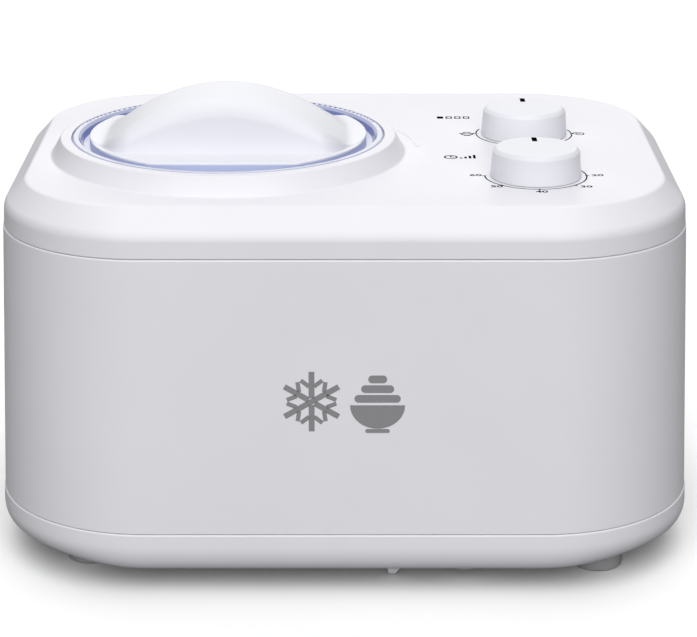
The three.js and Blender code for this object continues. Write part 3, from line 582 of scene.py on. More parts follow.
def spun_metal(name, colour, roughness):
    """Turned metal: fine rings about the pot's axis."""
    nodes = Nodes(name)
    offset = nodes.vector("SUBTRACT", nodes.place, (POT_X * MM, POT_Y * MM, 0))
    radius = nodes.vector("LENGTH", nodes.vector("MULTIPLY", offset, (1, 1, 0)))
    across = nodes.maths("ADD", radius, nodes.along("Z", offset))
    inputs = {"W": across, "Scale": 2600, "Detail": 3.0}
    rings = nodes.add("TexNoise", inputs, noise_dimensions="1D").outputs["Fac"]
    base = nodes.mottled(nodes.noise(40, 4), colour, 0.95, 1.03)
    gloss = nodes.spread(rings, roughness - 0.06, roughness + 0.08)
    return nodes.finish(base, gloss, nodes.bump(rings, 0.12, 0.0001), Metallic=1.0)


def foam_block(name, colour):
    nodes = Nodes(name)
    cells = nodes.add("TexVoronoi", {"Vector": nodes.place, "Scale": 420}).outputs["Distance"]
    base = nodes.blend(cells, tinted(colour, 1.02), tinted(colour, 0.86))
    gloss = nodes.spread(cells, 0.85, 0.98)
    return nodes.finish(base, gloss, nodes.bump(cells, 0.5, 0.0008))


def circuit_board(name, colour):
    """Lacquered board with paler tracks in a grid."""
    nodes = Nodes(name)
    inputs = {"Vector": nodes.place, "Scale": 260, "Mortar Size": 0.02}
    tracks = nodes.add("TexBrick", inputs).outputs["Fac"]
    base = nodes.blend(tracks, tinted(colour, 1.0), tinted(colour, 1.7))
    gloss = nodes.spread(nodes.noise(90, 3), 0.3, 0.42)
    return nodes.finish(base, gloss, nodes.bump(tracks, 0.2, 0.0002))


MATERIALS = {name: look(name, *values) for look, name, *values in [
    (plastic, "shell_white", (0.845, 0.84, 0.885), 0.36),
    # the lid's deep blue on upright walls is painted: light along the plastic, and shade in the groove round
    # the grip
    (clear_blue, "lid_clear", (0.86, 0.87, 0.985), (0.085, 0.16, 0.56), (0.36, 0.47, 0.82)),
    # the grip's last colour is painted bluish shade on its edge, down in the lid
    (plastic, "lid_white", (0.85, 0.855, 0.905), 0.33, 1400, 0.012, 0.012, (0.52, 0.58, 0.81)),
    (plastic, "knob_white", (0.815, 0.82, 0.87), 0.34, 1400, 0.012),
    (silicone, "seal_silicone", (0.8, 0.81, 0.83)),
    (rubber, "foot_rubber", (0.4, 0.4, 0.41)),
    (rubber, "mount_rubber", (0.04, 0.04, 0.04)),
    (spun_metal, "bowl_aluminium", (0.78, 0.79, 0.8), 0.3),
    (drawn_metal, "bright_steel", (0.66, 0.67, 0.68), 0.3),
    (plastic, "paddle_white", (0.85, 0.85, 0.83), 0.4),
    (drawn_metal, "copper", (0.72, 0.38, 0.22), 0.3, 0.3),
    (foam_block, "foam", (0.85, 0.82, 0.74)),
    (plastic, "black_plastic", (0.025, 0.025, 0.028), 0.48, 900, 0.1, 0.1),
    (plastic, "nylon", (0.8, 0.76, 0.62), 0.45),
    (circuit_board, "board_green", (0.02, 0.16, 0.06)),
    (drawn_metal, "bronze", (0.6, 0.42, 0.2), 0.45),
    (enamel, "black_enamel", (0.02, 0.02, 0.022)),
]}
PRINT_BLACK = ink("print_black", (0.003, 0.003, 0.004))
PRINT_GREY = ink("print_grey", (0.285, 0.28, 0.295))


# ---------- case ----------
def boss(shell, x, y, radius, floor, top):
    """A post on the base's floor. Gives the ring where it meets the floor."""
    profile = [(radius + 0.8, floor), (radius + 0.2, floor + 0.3), (radius, floor + 1), (radius, top - 0.3)]
    return shell.blind([*profile, (radius - 0.4, top)], 24, x, y)


def vent(shell, x0, x1, low, high):
    """A slot through the base's floor, with its lower edge rounded."""
    half, ease = (x1 - x0) / 2, 0.6
    outline = rectangle(x0, x1, VENT_FRONT, VENT_BACK, half)
    wide = rectangle(x0 - ease, x1 + ease, VENT_FRONT - ease, VENT_BACK + ease, half + ease)
    rings = [shell.flat(wide, low), shell.flat(outline, low + ease), shell.flat(outline, high)]
    shell.skin(rings)
    return rings[0], rings[-1]


def tray_edge(wall):
    """Radius, level and corner pinch of the rolled lower edge, from the flat underside up to the wall."""
    profile = []
    for k in range(BASE_STEPS + 1):
        angle = math.pi / 2 * (1 - k / BASE_STEPS)
        z = BASE_Z + wall + (BASE_RISE - wall) * (1 - math.sin(angle))
        inset = 1 - math.cos(angle)
        profile.append((case_radius(z) - wall - (BASE_REACH - wall) * inset, z, BASE_PINCH * inset))
    return profile


def tray_wedge(shell):
    """A short sloped rib under the front edge of the base. Gives the ring where it starts."""
    rings = [
        shell.flat(rectangle(x0, x1, y0, y1, 0.9), z)
        for z, x0, x1, y0, y1 in [
            (BASE_Z, 21.4, 38.6, -124.5, -113.5),
            (BASE_Z - 0.7, 22, 37.4, -124, -114),
            (3, 23.6, 29.6, -124, -114),
            (1.3, 24, 28.6, -123.7, -114.3),
            (0.7, 24.8, 28, -122.9, -115.1),
        ]
    ]
    shell.skin(rings)
    shell.fill(rings[-1])
    return rings[0]


def base_tray():
    rim = SLEEVE_LOW.z - 0.3
    floor = BASE_Z + WALL
    top = rounded([
        (case_radius(rim - 4), rim - 4), (case_radius(rim), rim, EDGE),
        (case_radius(rim) - WALL, rim, 0.3), (case_radius(rim - 4) - WALL, rim - 4),
    ], step=7)
    profile = tray_edge(0.0) + [(radius, z, 0.0) for radius, z in top] + tray_edge(WALL)[::-1]
    shell = Shell()
    rings = shell.skin([shell.ring(case_ring(*level)) for level in profile])
    bosses = [(POT_X + x, POT_Y + y, 6, PILLAR_TOP) for x, y in PILLARS]
    bosses += [(x, y, 5, POST_TOP) for x, y in POSTS]
    bosses += [(x, y, 6, SCREW_TOP) for x, y in SCREWS]
    inside = [boss(shell, x, y, radius, floor, boss_top) for x, y, radius, boss_top in bosses]
    recess = [(4.8, BASE_Z), (4.2, BASE_Z + 0.5), (4.2, BASE_Z + 2.4), (2.3, BASE_Z + 2.4), (2.3, 40)]
    under = [shell.blind(recess, 24, x, y) for x, y in SCREWS]
    for k in range(VENTS):
        x = VENT_X + VENT_PITCH * k
        lower, upper = vent(shell, x, x + VENT_WIDTH, BASE_Z, floor)
        under.append(lower)
        inside.append(upper)
    dome = [(13.6, BASE_Z), (12.9, 10.2), (11.4, 6.8), (9.4, 4.7), (7, 4)]
    under.append(shell.blind(dome, 40, DOME_X, DOME_Y))
    under.append(tray_wedge(shell))
    shell.fill(rings[0], under)
    shell.fill(rings[-1], inside)
    rebuilt(make("base_tray_fine", shell), "case", "shell_white")


def body_sleeve():
    low, high = SLEEVE_LOW.z, SLEEVE_HIGH.z
    profile = rounded([
        (sleeve_radius(low), low, 0.5), (sleeve_radius(high), high, EDGE),
        (sleeve_radius(high) - WALL, high, 0.3), (sleeve_radius(low) - WALL, low, 0.3),
    ], wrap=True, step=12)
    shell = Shell()
    shell.skin([shell.ring(case_ring(radius, z)) for radius, z in profile], wrap=True)
    piece = make("body_sleeve_fine", shell)
    back, reach = SLEEVE_HIGH.y, 20
    x0, x1 = GRILLE_LOW.x - GRILLE_GAP, GRILLE_HIGH.x + GRILLE_GAP
    outline = rectangle(x0, x1, GRILLE_LOW.z - GRILLE_GAP, GRILLE_HIGH.z + GRILLE_GAP, 1.2)
    window = Shell()
    window.capped([window.ring((x, y, z) for x, z in outline) for y in (back - reach, back + reach)])
    gland = (GLAND_LOW + GLAND_HIGH) / 2
    hole = make("gland_cut", rod(GLAND_HOLE, -reach, reach, 48), laid(gland.x, back, gland.z, "X"))
    combine(piece, [make("window_cut", window), hole], "DIFFERENCE")
    rebuilt(piece, "case", "shell_white")


def rear_grille():
    """A flat panel of upright slots, set in the back of the sleeve."""
    edge = 0.5
    x0, x1, z0, z1 = GRILLE_LOW.x, GRILLE_HIGH.x, GRILLE_LOW.z, GRILLE_HIGH.z
    levels = [(0.0, 0.0), (0.0, WALL - edge), (0.13 * edge, WALL - 0.5 * edge), (edge, WALL)]
    shell = Shell()

    def ring(outline, depth):
        return shell.ring([(x, CORNER_Y + sleeve_radius(z) - WALL + depth, z) for x, z in outline])

    outer = [ring(rectangle(x0 + d, x1 - d, z0 + d, z1 - d, 1.2), w) for d, w in levels]
    shell.skin(outer)
    fronts, backs = [], []
    slots = int((x1 - x0 - 2 * GRILLE_MARGIN - GRILLE_SLOT) // GRILLE_PITCH) + 1
    first = (x0 + x1 - GRILLE_PITCH * (slots - 1) - GRILLE_SLOT) / 2
    low, high = z0 + GRILLE_MARGIN, z1 - GRILLE_MARGIN
    for k in range(slots):
        x = first + GRILLE_PITCH * k
        cut = [
            ring(rectangle(x - d, x + GRILLE_SLOT + d, low - d, high + d, GRILLE_SLOT / 2 + d), w)
            for d, w in levels
        ]
        shell.skin(cut)
        backs.append(cut[0])
        fronts.append(cut[-1])
    shell.fill(outer[0], backs)
    shell.fill(outer[-1], fronts)
    rebuilt(make("rear_grille_fine", shell), "case", "shell_white")


def top_cover():
    low = COVER_LOW.z
    wall = case_radius(low) - PROUD
    under_z = TOP_Z - WALL
    outer = rounded([
        (63.4, under_z), (65.6, under_z, 2), (76.2, 199.6, 5), (wall - WALL, low), (wall, low, 0.5),
        (case_radius(200.9) - PROUD, 200.9, 9), (66.8, TOP_Z, 6), (63.6, TOP_Z),
    ], step=5)
    shell = Shell()
    rings = shell.skin([shell.ring(case_ring(radius, z)) for radius, z in outer])
    bore = LID_RADIUS + 0.3
    skirt = LID_RADIUS - 1.9
    groove = skirt + 3.2
    collar = rounded([
        (102.6, TOP_Z), (100.2, TOP_Z, 3), (94.4, COLLAR_Z, 1.3), (bore, COLLAR_Z, 0.35),
        (bore, COLLAR_Z - 3), (skirt, COLLAR_Z - 3, 0.2), (skirt, COLLAR_Z - 11, 0.2),
        (groove, COLLAR_Z - 11), (groove, LEDGE_Z, 0.4), (72, LEDGE_Z, 0.5),
        (72, LEDGE_Z - WALL, 0.5), (groove + WALL, LEDGE_Z - WALL, 0.6), (groove + WALL, under_z),
    ], step=9)
    collar_rings = shell.turned(collar, ROUND, POT_X, POT_Y)
    above, below = [collar_rings[0]], [collar_rings[-1]]
    hole_profile = [(SPINDLE_HOLE + 0.4, TOP_Z), (SPINDLE_HOLE, TOP_Z - 0.4), (SPINDLE_HOLE, under_z)]
    for box in KNOBS.values():
        x, y, _ = round_box(*box)
        hole = shell.turned(hole_profile, 32, x, y)
        above.append(hole[0])
        below.append(hole[-1])
    shell.fill(rings[-1], above)
    shell.fill(rings[0], below)
    piece = make("top_cover_fine", shell)
    entries = bayonets("entry_cut", skirt - 2.4, groove + 0.5, -8.5, 8.5, LEDGE_Z + 2, COLLAR_Z - 2.6, 0.2)
    combine(piece, entries, "DIFFERENCE")
    rebuilt(piece, "case", "shell_white")


def foot(node):
    low, high = box_mm(node)
    x, y, radius = round_box(low, high)
    piece = lathe(node, [
        (0, 1.2), (radius - 4.4, 1.2, 0.5), (radius - 4.0, 0, 0.4), (radius - 0.5, 0, 1.6),
        (radius, high.z, 0.5), (radius - 2, high.z), (0, high.z),
    ], 64, x, y, wrap=False, step=15)
    rebuilt(piece, "case", "foot_rubber")


def cord_gland():
    """A bush in the back wall, with a belled mouth for the cord."""
    centre = (GLAND_LOW + GLAND_HIGH) / 2
    bore, neck, flange = 3.8, 9, 12.5
    piece = lathe("cord_gland", [
        (bore, 0, 1.2), (neck, 0, 0.8), (neck, 3.6, 0.2), (flange, 3.6, 0.4), (flange, 6.6, 0.6),
        (bore, 6.6, 0.6),
    ], 48, 0.0, 0.0, step=15, place=laid(centre.x, GLAND_HIGH.y, centre.z, "X"))
    rebuilt(piece, "case", "black_plastic")


def feet():
    for side in ("front_left", "front_right", "rear_left", "rear_right"):
        foot(f"foot_{side}")


# ---------- lid ----------
def lid_disc():
    """The clear disc: a dished floor, a raised rim in a flat flange, a skirt, and fine ribs at the back."""
    skirt = LID_RADIUS - 2.3
    inner = skirt - 2.7
    profile = rounded([
        (0, LID_FLOOR - 3), (79, LID_FLOOR - 3, 1), (inner, LID_FLOOR - 3.6, 0.6),
        (inner, LID_LOW.z, 0.3), (skirt, LID_LOW.z, 0.5), (skirt, COLLAR_Z - 2.7, 0.5),
        (LID_RADIUS, COLLAR_Z - 2.7, 0.3), (LID_RADIUS, COLLAR_Z - 1.1, 0.2),
        (LID_RADIUS - 1.1, COLLAR_Z, 0.2), (RIM_OUTER, COLLAR_Z), (RIM_INNER, COLLAR_Z),
        (84.6, COLLAR_Z, 0.3), (83.2, COLLAR_Z - 1.5, 0.6), (81.8, LID_FLOOR, 0.9), (0, LID_FLOOR),
    ], step=15)
    shell = Shell()
    rings = []
    for radius, z in profile:
        points = []
        rim = RIM_INNER - 0.1 < radius < RIM_OUTER + 0.1 and z > COLLAR_Z - 0.5
        for k, (x, y) in enumerate(circle(POT_X, POT_Y, radius, LID_SEGMENTS)):
            behind = math.sin(math.tau * k / LID_SEGMENTS) > 0.3
            points.append((x, y, z - (RIB_DEPTH if rim and behind and k % 3 == 0 else 0)))
        rings.append(shell.ring(points))
    shell.skin(rings)
    piece = make("lid_disc_fine", shell)
    lugs = bayonets("lug", skirt - 1, skirt + 1.8, -6, 6, LEDGE_Z + 4, LEDGE_Z + 8.5, 0.5)
    combine(piece, lugs, "UNION")
    rebuilt(piece, "lid", "lid_clear")


def arch_front(x):
    """The foot of the upright face: straight, and curving back at both ends to stay on the plate."""
    return ARCH_FRONT + END_CURVE * max(0.0, abs(x) - STRAIGHT) ** 2


def arch_height(x, y, shrink=0.0):
    """Height of the arch above the plate: an upright front, a rounded ridge and a long slope to the back."""
    share = 1 - (x / (ARCH_SPAN - shrink)) ** 2
    crown = math.copysign(abs(share) ** 0.92, share) * (ARCH_HEIGHT - shrink + END_RUN_OUT) - END_RUN_OUT
    if abs(crown) < END_RUN_OUT:
        crown = (crown + END_RUN_OUT) ** 2 / (4 * END_RUN_OUT)
    elif crown < 0:
        crown = 0.0
    front, back = arch_front(x) + shrink, ARCH_BACK - shrink
    if y <= front + 1e-6:
        return 0.0
    ridge = arch_front(x) + ROLL_DEPTH
    height = crown
    if y < ridge:
        fillet = ROLL * math.tanh(crown * 0.075)  # smaller where the arch is low
        along = min(1.0, (ridge - y) / (ridge - front))
        height -= fillet * (1 - math.sqrt(1 - along * along))
    if y > RIDGE_BACK:
        t = (y - RIDGE_BACK) / (back - RIDGE_BACK)
        fall = math.cos(min(t, 1.0) * math.pi / 2) ** 1.15
        height = height * fall - 6 * max(0.0, t - 1)
    if abs(height) < RUN_OUT:
        return (height + RUN_OUT) ** 2 / (4 * RUN_OUT) * min(1.0, (y - front) / 2)
    return max(0.0, height)


def handle_samples(x):
    """Where the surface is sampled from front to back, closest at the front face and its rounded edge."""
    foot_y = arch_front(x)
    ridge = foot_y + ROLL_DEPTH
    samples = [foot_y - 14, foot_y - 7, foot_y - 0.02]
    angles = [3, 7] + list(range(12, 91, 6))
    samples += [foot_y + ROLL_DEPTH * (1 - math.cos(math.radians(degrees))) for degrees in angles]
    samples += [ridge + (RIDGE_BACK - ridge) * k / 8 for k in range(1, 9)]
    samples += [RIDGE_BACK + (PLATE_BACK - RIDGE_BACK) * k / 26 for k in range(1, 26)]
    return samples


def lid_handle():
    """Plate and hollow arch in one moulding, as an upper and a lower surface over the same grid."""
    edge_steps = [0.0, 0.04, 0.12, 0.25, 0.45, PLATE_EDGE]
    shell = Shell()
    upper, lower = [], []
    for i in range(HANDLE_SECTIONS + 1):
        x = -PLATE_RADIUS * math.cos(math.pi * i / HANDLE_SECTIONS)
        half = math.sqrt(max(0.0, PLATE_RADIUS**2 - x * x))
        front, back = max(PLATE_FRONT, -half), min(PLATE_BACK, half)
        steps = [min(step, (back - front) / 2) for step in edge_steps]
        inner_front, inner_back = front + steps[-1], back - steps[-1]
        line = [front + step for step in steps]
        line += [min(max(y, inner_front), inner_back) for y in handle_samples(x)]
        line += [back - step for step in steps[::-1]]
        tops, bottoms = [], []
        for y in line:
            edge = max(0.0, min(PLATE_RADIUS - math.hypot(x, y), y - PLATE_FRONT, PLATE_BACK - y))
            drop = 0.0
            if edge < PLATE_EDGE:
                drop = PLATE_EDGE - math.sqrt(PLATE_EDGE**2 - (PLATE_EDGE - edge) ** 2)
            z = PLATE_TOP + arch_height(x, y) - drop
            tops.append((POT_X + x, POT_Y + y, z))
            inside = arch_height(x, y, GRIP_WALL)
            bottom = PLATE_LOW.z
            if edge > 6 and inside > 3:
                bottom = min(z - PLATE_THICKNESS, PLATE_TOP + inside - GRIP_WALL)
            bottoms.append((POT_X + x, POT_Y + y, bottom))
        upper.append(shell.ring(tops))
        lower.append(shell.ring(bottoms))
    shell.skin(upper, closed=False)
    shell.skin(lower, closed=False)
    for end in (0, -1):
        shell.skin([[row[end] for row in upper], [row[end] for row in lower]], closed=False)
    rebuilt(make("lid_handle_fine", shell), "lid", "lid_white", sharp=50)


def lid_seal():
    outer = (SEAL_HIGH.x - SEAL_LOW.x) / 2
    low, high = SEAL_LOW.z, SEAL_HIGH.z
    piece = lathe("lid_seal", [
        (outer - 4, low, 0.8), (outer, low, 0.6), (outer, high, 0.6), (outer - 2, high, 0.6),
        (outer - 2, low + 2.2, 0.6),
    ], 96, step=20)
    rebuilt(piece, "seal", "seal_silicone")


# ---------- bowl, paddle and freezing chamber ----------
def mixing_bowl():
    floor, rim = BOWL_FLOOR, LEDGE_Z + 0.3
    outer = BOWL_RADIUS + BOWL_WALL
    piece = lathe("mixing_bowl", [
        (11, floor, 0.3), (outer, floor, 8), (outer, rim, 0.5), (BOWL_FLANGE, rim, 0.7),
        (BOWL_FLANGE, rim + BOWL_WALL, 0.7), (BOWL_RADIUS, rim + BOWL_WALL, 1.2),
        (BOWL_RADIUS, floor + BOWL_WALL, 7), (12.5, floor + BOWL_WALL, 2.5),
        (12.5, floor + 30, 0.6), (11, floor + 30, 0.6),
    ])
    ears, eyes = [], []
    for k, side in enumerate((1, -1)):
        x0, x1 = sorted((side * 71, side * 75))
        ears.append(make(f"ear_{k}", brick(x0, x1, -4, 4, rim + 0.5, rim + 8.4, 0.8)))
        eyes.append(make(f"eye_cut_{k}", rod(2, side * 70, side * 76), laid(POT_X, POT_Y, BAIL_Z, "Y")))
    combine(piece, ears, "UNION")
    combine(piece, eyes, "DIFFERENCE")
    rebuilt(piece, "bowl", "bowl_aluminium")


def bowl_bail():
    """A bent wire, folded to the back, whose ends turn out into the bowl's ears."""
    path = [(BAIL_END, 0), (BAIL_RADIUS + 2, 0)]
    path += [polar(BAIL_RADIUS, degrees) for degrees in range(2, 180, 4)]
    path += [(-BAIL_RADIUS - 2, 0), (-BAIL_END, 0)]
    wire = tube([(POT_X + x, POT_Y + y, BAIL_Z) for x, y in path], BAIL_WIRE)
    rebuilt(make("bowl_bail_fine", wire), "bail", "bright_steel")


def paddle_blade(side):
    """A framed blade with a window, upright in the plane of X and Z."""
    floor = PADDLE_LOW.z
    edge, half = 1.0, 1.8  # rounding of its edges, and half its thickness
    frame_line = [(14.6, floor), (57, floor), (63, floor + 8), (64.5, 150), (60, 158), (11, 165)]
    window_line = [(24, floor + 12), (54, floor + 12), (54, 142), (21, 146)]
    middle_x, middle_z = 38, 130
    lower = [(edge, -half), (DIP * edge, -half + DIP * edge), (0, -half + edge)]
    levels = lower + [(inset, -depth) for inset, depth in lower[::-1]]
    shell = Shell()

    def ring(points, inset, depth):
        """An outline whose corners lie nearer to the blade's middle by the inset, on both axes."""
        corners = [
            (x - inset * math.copysign(1, x - middle_x), z - inset * math.copysign(1, z - middle_z), 4)
            for x, z in points
        ]
        outline = rounded(corners, wrap=True, step=15)
        return shell.ring([(POT_X + side * x, POT_Y + depth, z) for x, z in outline])

    outer = [ring(frame_line, inset, depth) for inset, depth in levels]
    inner = [ring(window_line, -inset, depth) for inset, depth in levels]
    shell.skin(outer)
    shell.skin(inner)
    shell.fill(outer[0], [inner[0]])
    shell.fill(outer[-1], [inner[-1]])
    return shell


def paddle():
    floor, top = PADDLE_LOW.z, PADDLE_HIGH.z
    piece = lathe("paddle", [
        (0, SOCKET_HIGH), (4.4, SOCKET_HIGH), (4.4, SOCKET_LOW, 0.5), (HUB_RADIUS, SOCKET_LOW, 1),
        (HUB_RADIUS, floor, 0.4), (18, floor, 0.6), (17, 150, 12), (9, 172, 6), (8, top, 2.5),
        (0, top),
    ], 72, wrap=False)
    blades = [make(f"blade_{k}", paddle_blade(side)) for k, side in enumerate((1, -1))]
    combine(piece, blades, "UNION")
    socket = make("socket_cut", brick(-4.3, 4.3, -4.3, 4.3, SOCKET_LOW - 1, SOCKET_HIGH, 0.3))
    combine(piece, [socket], "DIFFERENCE")
    rebuilt(piece, "paddle", "paddle_white")


def evaporator_cup():
    floor, rim = CUP_LOW.z, CUP_HIGH.z
    outer = CUP_RADIUS + CUP_WALL
    piece = lathe("evaporator_cup", [
        (8.6, floor, 0.3), (outer, floor, 6), (outer, rim - CUP_WALL, 0.8),
        (CUP_FLANGE, rim - CUP_WALL, 0.4), (CUP_FLANGE, rim, 0.4), (CUP_RADIUS, rim, 1.5),
        (CUP_RADIUS, floor + CUP_WALL, 5), (9.8, floor + CUP_WALL, 1.5), (9.8, floor + 28, 0.5),
        (8.6, floor + 28, 0.5),
    ])
    rebuilt(piece, "case", "bowl_aluminium")


def chamber_gasket():
    levels = (GASKET_LOW.z, GASKET_HIGH.z)
    corners = [(73, levels[0], 0.6), (86, levels[0], 0.6), (86, levels[1], 0.6), (73, levels[1], 0.6)]
    rebuilt(lathe("chamber_gasket", corners, 96, step=20), "case", "seal_silicone")


# ---------- controls ----------
def knob(name):
    low, high = KNOBS[name]
    x, y, radius = round_box(low, high)
    z0, z1 = low.z - 0.2, high.z
    piece = lathe(f"{name}_knob", [
        (0, z0 + 11), (3.3, z0 + 11, 0.3), (3.3, z0 + 0.6, 0.4), (6.5, z0 + 0.6, 0.4),
        (6.5, z1 - 3, 1), (radius - 3.4, z1 - 3, 2), (radius - 2.2, z0, 0.3), (radius, z0, 0.5),
        (radius - 1.1, z1 - 2.2, 1.3), (radius - 3.2, z1, 2.0), (0, z1),
    ], 128, x, y, wrap=False, step=7)
    rebuilt(piece, f"{name}_dial", "knob_white")
    mark = Shell()
    half, tip, tail = 1.45, radius - 4.6, radius - 13.2
    corners = rectangle(x - half, x + half, y + tail, y + tip, 0.4)
    mark.capped([mark.flat(corners, z1 - 0.3), mark.flat(corners, z1 + 0.04)])
    inked(make(f"{name}_pointer", mark), PRINT_BLACK, f"{name}_dial")


def knobs():
    for name in KNOBS:
        knob(name)


# ---------- prints ----------
class Print(Shell):
    """Thin raised shapes. The place function takes (a, b, height) to a point in the frame."""

    def __init__(self, place, height, sunk=0.05):
        super().__init__()
        self.place = place
        self.height = height
        self.sunk = sunk

    def shape(self, outline):
        self.capped([self.ring([self.place(a, b, h) for a, b in outline]) for h in (-self.sunk, self.height)])

    def stroke(self, points, width):
        """A line of one width with square ends."""
        path = [Vector(point) for point in points]
        left, right = [], []
        for i, here in enumerate(path):
            ahead = heading(path, i)
            side = Vector((-ahead.y, ahead.x)) * width / 2
            left.append(tuple(here + side))
            right.append(tuple(here - side))
        self.shape(left + right[::-1])

    def spoke(self, x, y, start, end, degrees, width):
        """A straight line in one direction from (x, y), between two distances."""
        ends = [polar(reach, degrees) for reach in (start, end)]
        self.stroke([(x + a, y + b) for a, b in ends], width)

    def arc(self, x, y, radius, start, end, width, step=3):
        count = max(2, round(abs(end - start) / step))
        path = [polar(radius, start + (end - start) * k / count) for k in range(count + 1)]
        self.stroke([(x + a, y + b) for a, b in path], width)

    def bar(self, x, y, width, height, radius=0.2):
        self.shape(rectangle(x - width / 2, x + width / 2, y - height / 2, y + height / 2, radius))


def inked(piece, material, body="case", slot="black_plastic"):
    """Finishes a print with its slot's material, and then gives it a look of its own in place of that
    material.
    """
    finished(piece, body, slot, weighted=False)
    piece.data.materials[0] = material


def on_cover(x, y, height):
    return x, y, TOP_Z + height


def on_front(x, z, height):
    return x, -(CORNER_Y + sleeve_radius(z)) - height, z


def on_arch(x, y, height):
    return POT_X + x, POT_Y + y, PLATE_TOP + arch_height(x, y) + height


def numeral(text, x, y):
    """A number on the dial, as a thin mesh."""
    curve = bpy.data.curves.new(f"numeral_{text}", "FONT")
    curve.body = text
    curve.size = NUMERAL_SIZE * MM
    curve.align_x = curve.align_y = "CENTER"
    curve.extrude = PRINT_HEIGHT * MM
    curve.offset = 0.09 * MM
    maker = placed(f"numeral_maker_{text}", curve)
    mesh = evaluated_mesh(maker)
    bpy.data.objects.remove(maker)
    mesh.transform(Matrix.Translation(Vector((x, y, TOP_Z)) * MM) @ Matrix.Diagonal((1.3, 1.0, 1.0, 1.0)))
    inked(placed(f"time_numeral_{text}", mesh), PRINT_BLACK)


def time_scale():
    """Minutes in tens, from 20 on the right round the front to 60 on the left."""
    x, y, radius = round_box(*KNOBS["time"])
    radius += 2.9
    scale = Print(on_cover, PRINT_HEIGHT)
    scale.arc(x, y, radius, 180, 389, 0.8)
    for k, (text, right, back) in enumerate(TIME_NUMERALS):
        scale.spoke(x, y, radius - 0.8, radius + 1.6, 180 + 45 * k, 0.9)
        numeral(text, x + right, y + back)
    inked(make("time_scale", scale), PRINT_BLACK)


def menu_scale():
    """An arc from a cup on the left to a whisk swirl on the right, open at the front."""
    x, y, radius = round_box(*KNOBS["menu"])
    radius += 2.9
    scale = Print(on_cover, PRINT_HEIGHT)
    for start, end in ((156, 178), (183, 262), (278, 358), (2, 20)):
        scale.arc(x, y, radius, start, end, 0.75)
    for angle in (180, 0):
        scale.spoke(x, y, radius - 0.8, radius + 1.8, angle, 0.8)
    cup_x, swirl_x = x - 33.2, x + 32.2
    scale.arc(cup_x, y + 0.4, 3.4, 185, 355, 1.0, 12)
    scale.stroke([(cup_x - 4.4, y + 1.0), (cup_x + 4.4, y + 1.0)], 1.0)
    scale.arc(cup_x, y + 1.8, 2.1, 10, 170, 0.9, 15)
    scale.stroke([(cup_x - 1.9, y - 3.8), (cup_x + 1.9, y - 3.8)], 1.0)
    swirl = [polar(0.6 + 3.4 * degrees / 540, degrees) for degrees in range(0, 541, 20)]
    scale.stroke([(swirl_x + a, y + b * 0.95) for a, b in swirl], 0.85)
    inked(make("menu_scale", scale), PRINT_BLACK)


def control_symbols():
    """Signs beside the knobs: four tiles for the programme, and a clock and rising bars for the time."""
    sign = Print(on_cover, PRINT_HEIGHT)
    menu_y = 64.6
    sign.bar(57.0, menu_y, 3.7, 5.2, 0.6)
    for x in (62.2, 67.4, 72.6):
        for side in (-1, 1):
            sign.bar(x + 1.5 * side, menu_y, 0.8, 5.2)
            sign.bar(x, menu_y + 2.05 * side, 2.3, 1.1)
    clock_x, bars_x, time_y = 59.6, 65.4, -28.8
    for start in (0, 180):
        sign.arc(clock_x, time_y, 3.4, start, start + 180, 1.0, 12)
    sign.stroke([(clock_x, time_y - 0.3), (clock_x, time_y + 2.3)], 0.9)
    sign.stroke([(clock_x - 0.3, time_y), (clock_x + 1.8, time_y)], 0.9)
    for k in range(4):
        sign.bar(bars_x + 2.5 * k, time_y - 3 + 0.95 * (k + 1), 1.4, 1.9 * (k + 1))
    inked(make("control_symbols", sign), PRINT_BLACK)


def lock_arrow():
    """A raised turn arrow beside the collar, and the bar that it points to."""
    line = Print(on_cover, 0.3)
    radius, tip_angle = 107.8, 5
    line.arc(POT_X, POT_Y, radius, 27, 6, 0.5, 2)
    tip_x, tip_y = polar(radius, tip_angle)
    for degrees in (104, 66):
        line.spoke(POT_X + tip_x, POT_Y + tip_y, 0, 4.2, tip_angle + degrees, 0.5)
    line.spoke(POT_X, POT_Y, 103.4, 111, -1, 0.7)
    inked(make("lock_arrow", line), MATERIALS["shell_white"], slot="shell_white")


def front_emblem():
    """A generic sign for a frozen dessert: a snowflake beside a heaped bowl."""
    sign = Print(on_front, 0.12)
    flake_x, flake_z, arm, width = -17.5, 111.0, 16.6, 3.1
    sign.spoke(flake_x, flake_z, -arm, arm, 30, width)
    for degrees in (90, 150):
        for sense in (1, -1):
            sign.spoke(flake_x, flake_z, sense * width * 0.62, sense * arm, degrees, width)
    for degrees in range(30, 390, 60):
        fork = polar(8.4, degrees)
        for sense in (1, -1):
            shift = polar(1.3, degrees + sense * 90)
            twig_x, twig_z = flake_x + fork[0] + shift[0], flake_z + fork[1] + shift[1]
            sign.spoke(twig_x, twig_z, 0, 5.6, degrees + sense * 52, 2.3)
    bowl_x, bowl_z = 17.5, 109.0
    half_disc = [polar(14.6, degrees) for degrees in range(180, 361, 9)]
    sign.shape([(bowl_x + a, bowl_z + b * 0.9) for a, b in half_disc])
    sign.bar(bowl_x, bowl_z - 14.4, 13, 2.2, 1)
    for k, scoop_width in enumerate((24.5, 17.5, 10)):
        sign.bar(bowl_x, bowl_z + 3.6 + 5.4 * k, scoop_width, 4.3, 2.1)
    inked(make("front_emblem", sign), PRINT_GREY, slot="bright_steel")


def handle_mark():
    """A small raised triangle outline on the right end of the grip."""
    line = Print(on_arch, 0.14, 0.3)
    corners = [Vector(corner) for corner in [(54, 6), (66, -8), (52, 0), (54, 6)]]
    for start, end in zip(corners, corners[1:]):
        line.stroke([start.lerp(end, k / 6) for k in range(7)], 0.45)
    inked(make("handle_mark", line), MATERIALS["lid_white"], "lid", "lid_white")


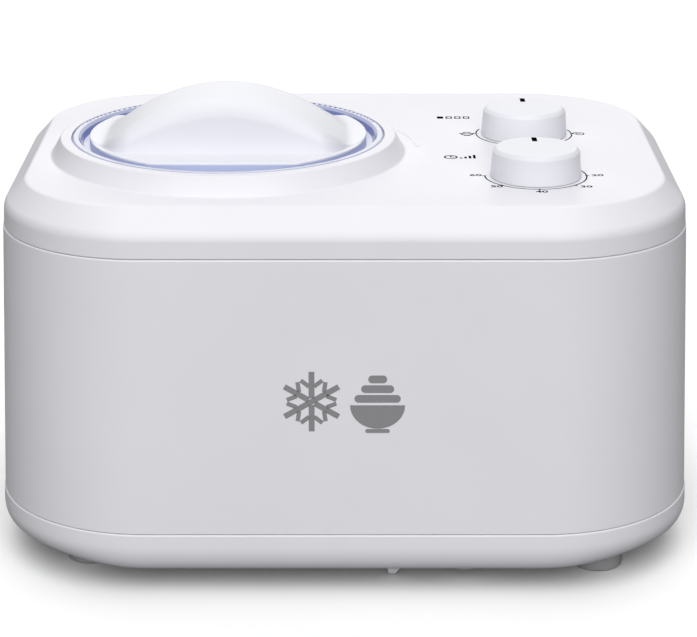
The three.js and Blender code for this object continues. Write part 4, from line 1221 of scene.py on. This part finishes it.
# ---------- nodes kept from the CAD model ----------
def dress_cad_nodes():
    for part in frame["record"]["subparts"]:
        node = frame["nodes"][part["node"]]
        if node.hide_render:
            continue
        node.data.materials.clear()
        node.data.materials.append(MATERIALS[part["material_slot"]])


# ---------- floor, light and camera ----------
def floor():
    nodes = Nodes("floor_white")
    seen = nodes.add("LightPath").outputs["Is Camera Ray"]
    pale = nodes.blend(nodes.spread(nodes.noise(3, 2), 0, 1), (1.1, 1.1, 1.1, 1), (1.13, 1.13, 1.13, 1))
    base = nodes.blend(seen, tinted((1, 1, 1), FLOOR_BOUNCE), pale)
    gloss = nodes.spread(nodes.noise(8, 2), 0.85, 0.95)
    material = nodes.finish(base, gloss, Specular_IOR_Level=0.0)
    shell = Shell()
    shell.turned([(0, 0), (600, 0), (1500, 0), (3000, 0), (9000, 0), (9000, -20), (0, -20)], 96)
    ground = make("floor", shell)
    ground.data.materials.append(material)


def world():
    """A dark room with a softbox high in front and one high behind, before a white backdrop."""
    sky = bpy.data.worlds.new("studio")
    bpy.context.scene.world = sky
    sky.use_nodes = True
    room = Tree(sky.node_tree)
    room.tree.nodes.clear()
    direction = room.add("TexCoord").outputs["Generated"]
    sideways = room.along("X", direction)
    flank = room.maths("MULTIPLY", sideways, sideways)
    total = 0.0
    for elevation, brightness, edge, core, narrowing in SOFTBOXES:
        forward, up = polar(1.0, elevation)
        towards = room.vector("DOT_PRODUCT", direction, (0.0, -forward, up))
        narrowed = room.maths("MULTIPLY_ADD", flank, -narrowing, towards)
        box = room.ramp(narrowed, edge, core, 0.0, brightness, interpolation_type="SMOOTHSTEP")
        total = room.maths("ADD", box, total)
    seen = room.add("LightPath").outputs["Is Camera Ray"]
    strength = room.add("Mix", {0: seen, 2: total, 3: 1.0}).outputs[0]
    background = room.add("Background", {"Color": (1.0, 1.0, 1.0, 1.0), "Strength": strength})
    room.add("OutputWorld", {"Surface": background.outputs[0]})


def camera():
    data = bpy.data.cameras.new("camera")
    data.lens = CAMERA_LENS
    data.sensor_width = CAMERA_SENSOR
    data.clip_start, data.clip_end = 0.05, 50.0
    view = placed("camera", data)
    view.location = CAMERA_PLACE
    view.rotation_euler = (math.radians(CAMERA_TILT), 0.0, 0.0)
    bpy.context.scene.camera = view


def tone():
    settings = bpy.context.scene.view_settings
    settings.view_transform = "Standard"
    settings.look = "None"


for build in (
    base_tray, body_sleeve, rear_grille, top_cover, cord_gland, feet, lid_disc, lid_handle, lid_seal,
    mixing_bowl, bowl_bail, paddle, evaporator_cup, chamber_gasket, knobs, time_scale, menu_scale,
    control_symbols, lock_arrow, front_emblem, handle_mark, dress_cad_nodes, floor, world, tone, camera,
):
    build()
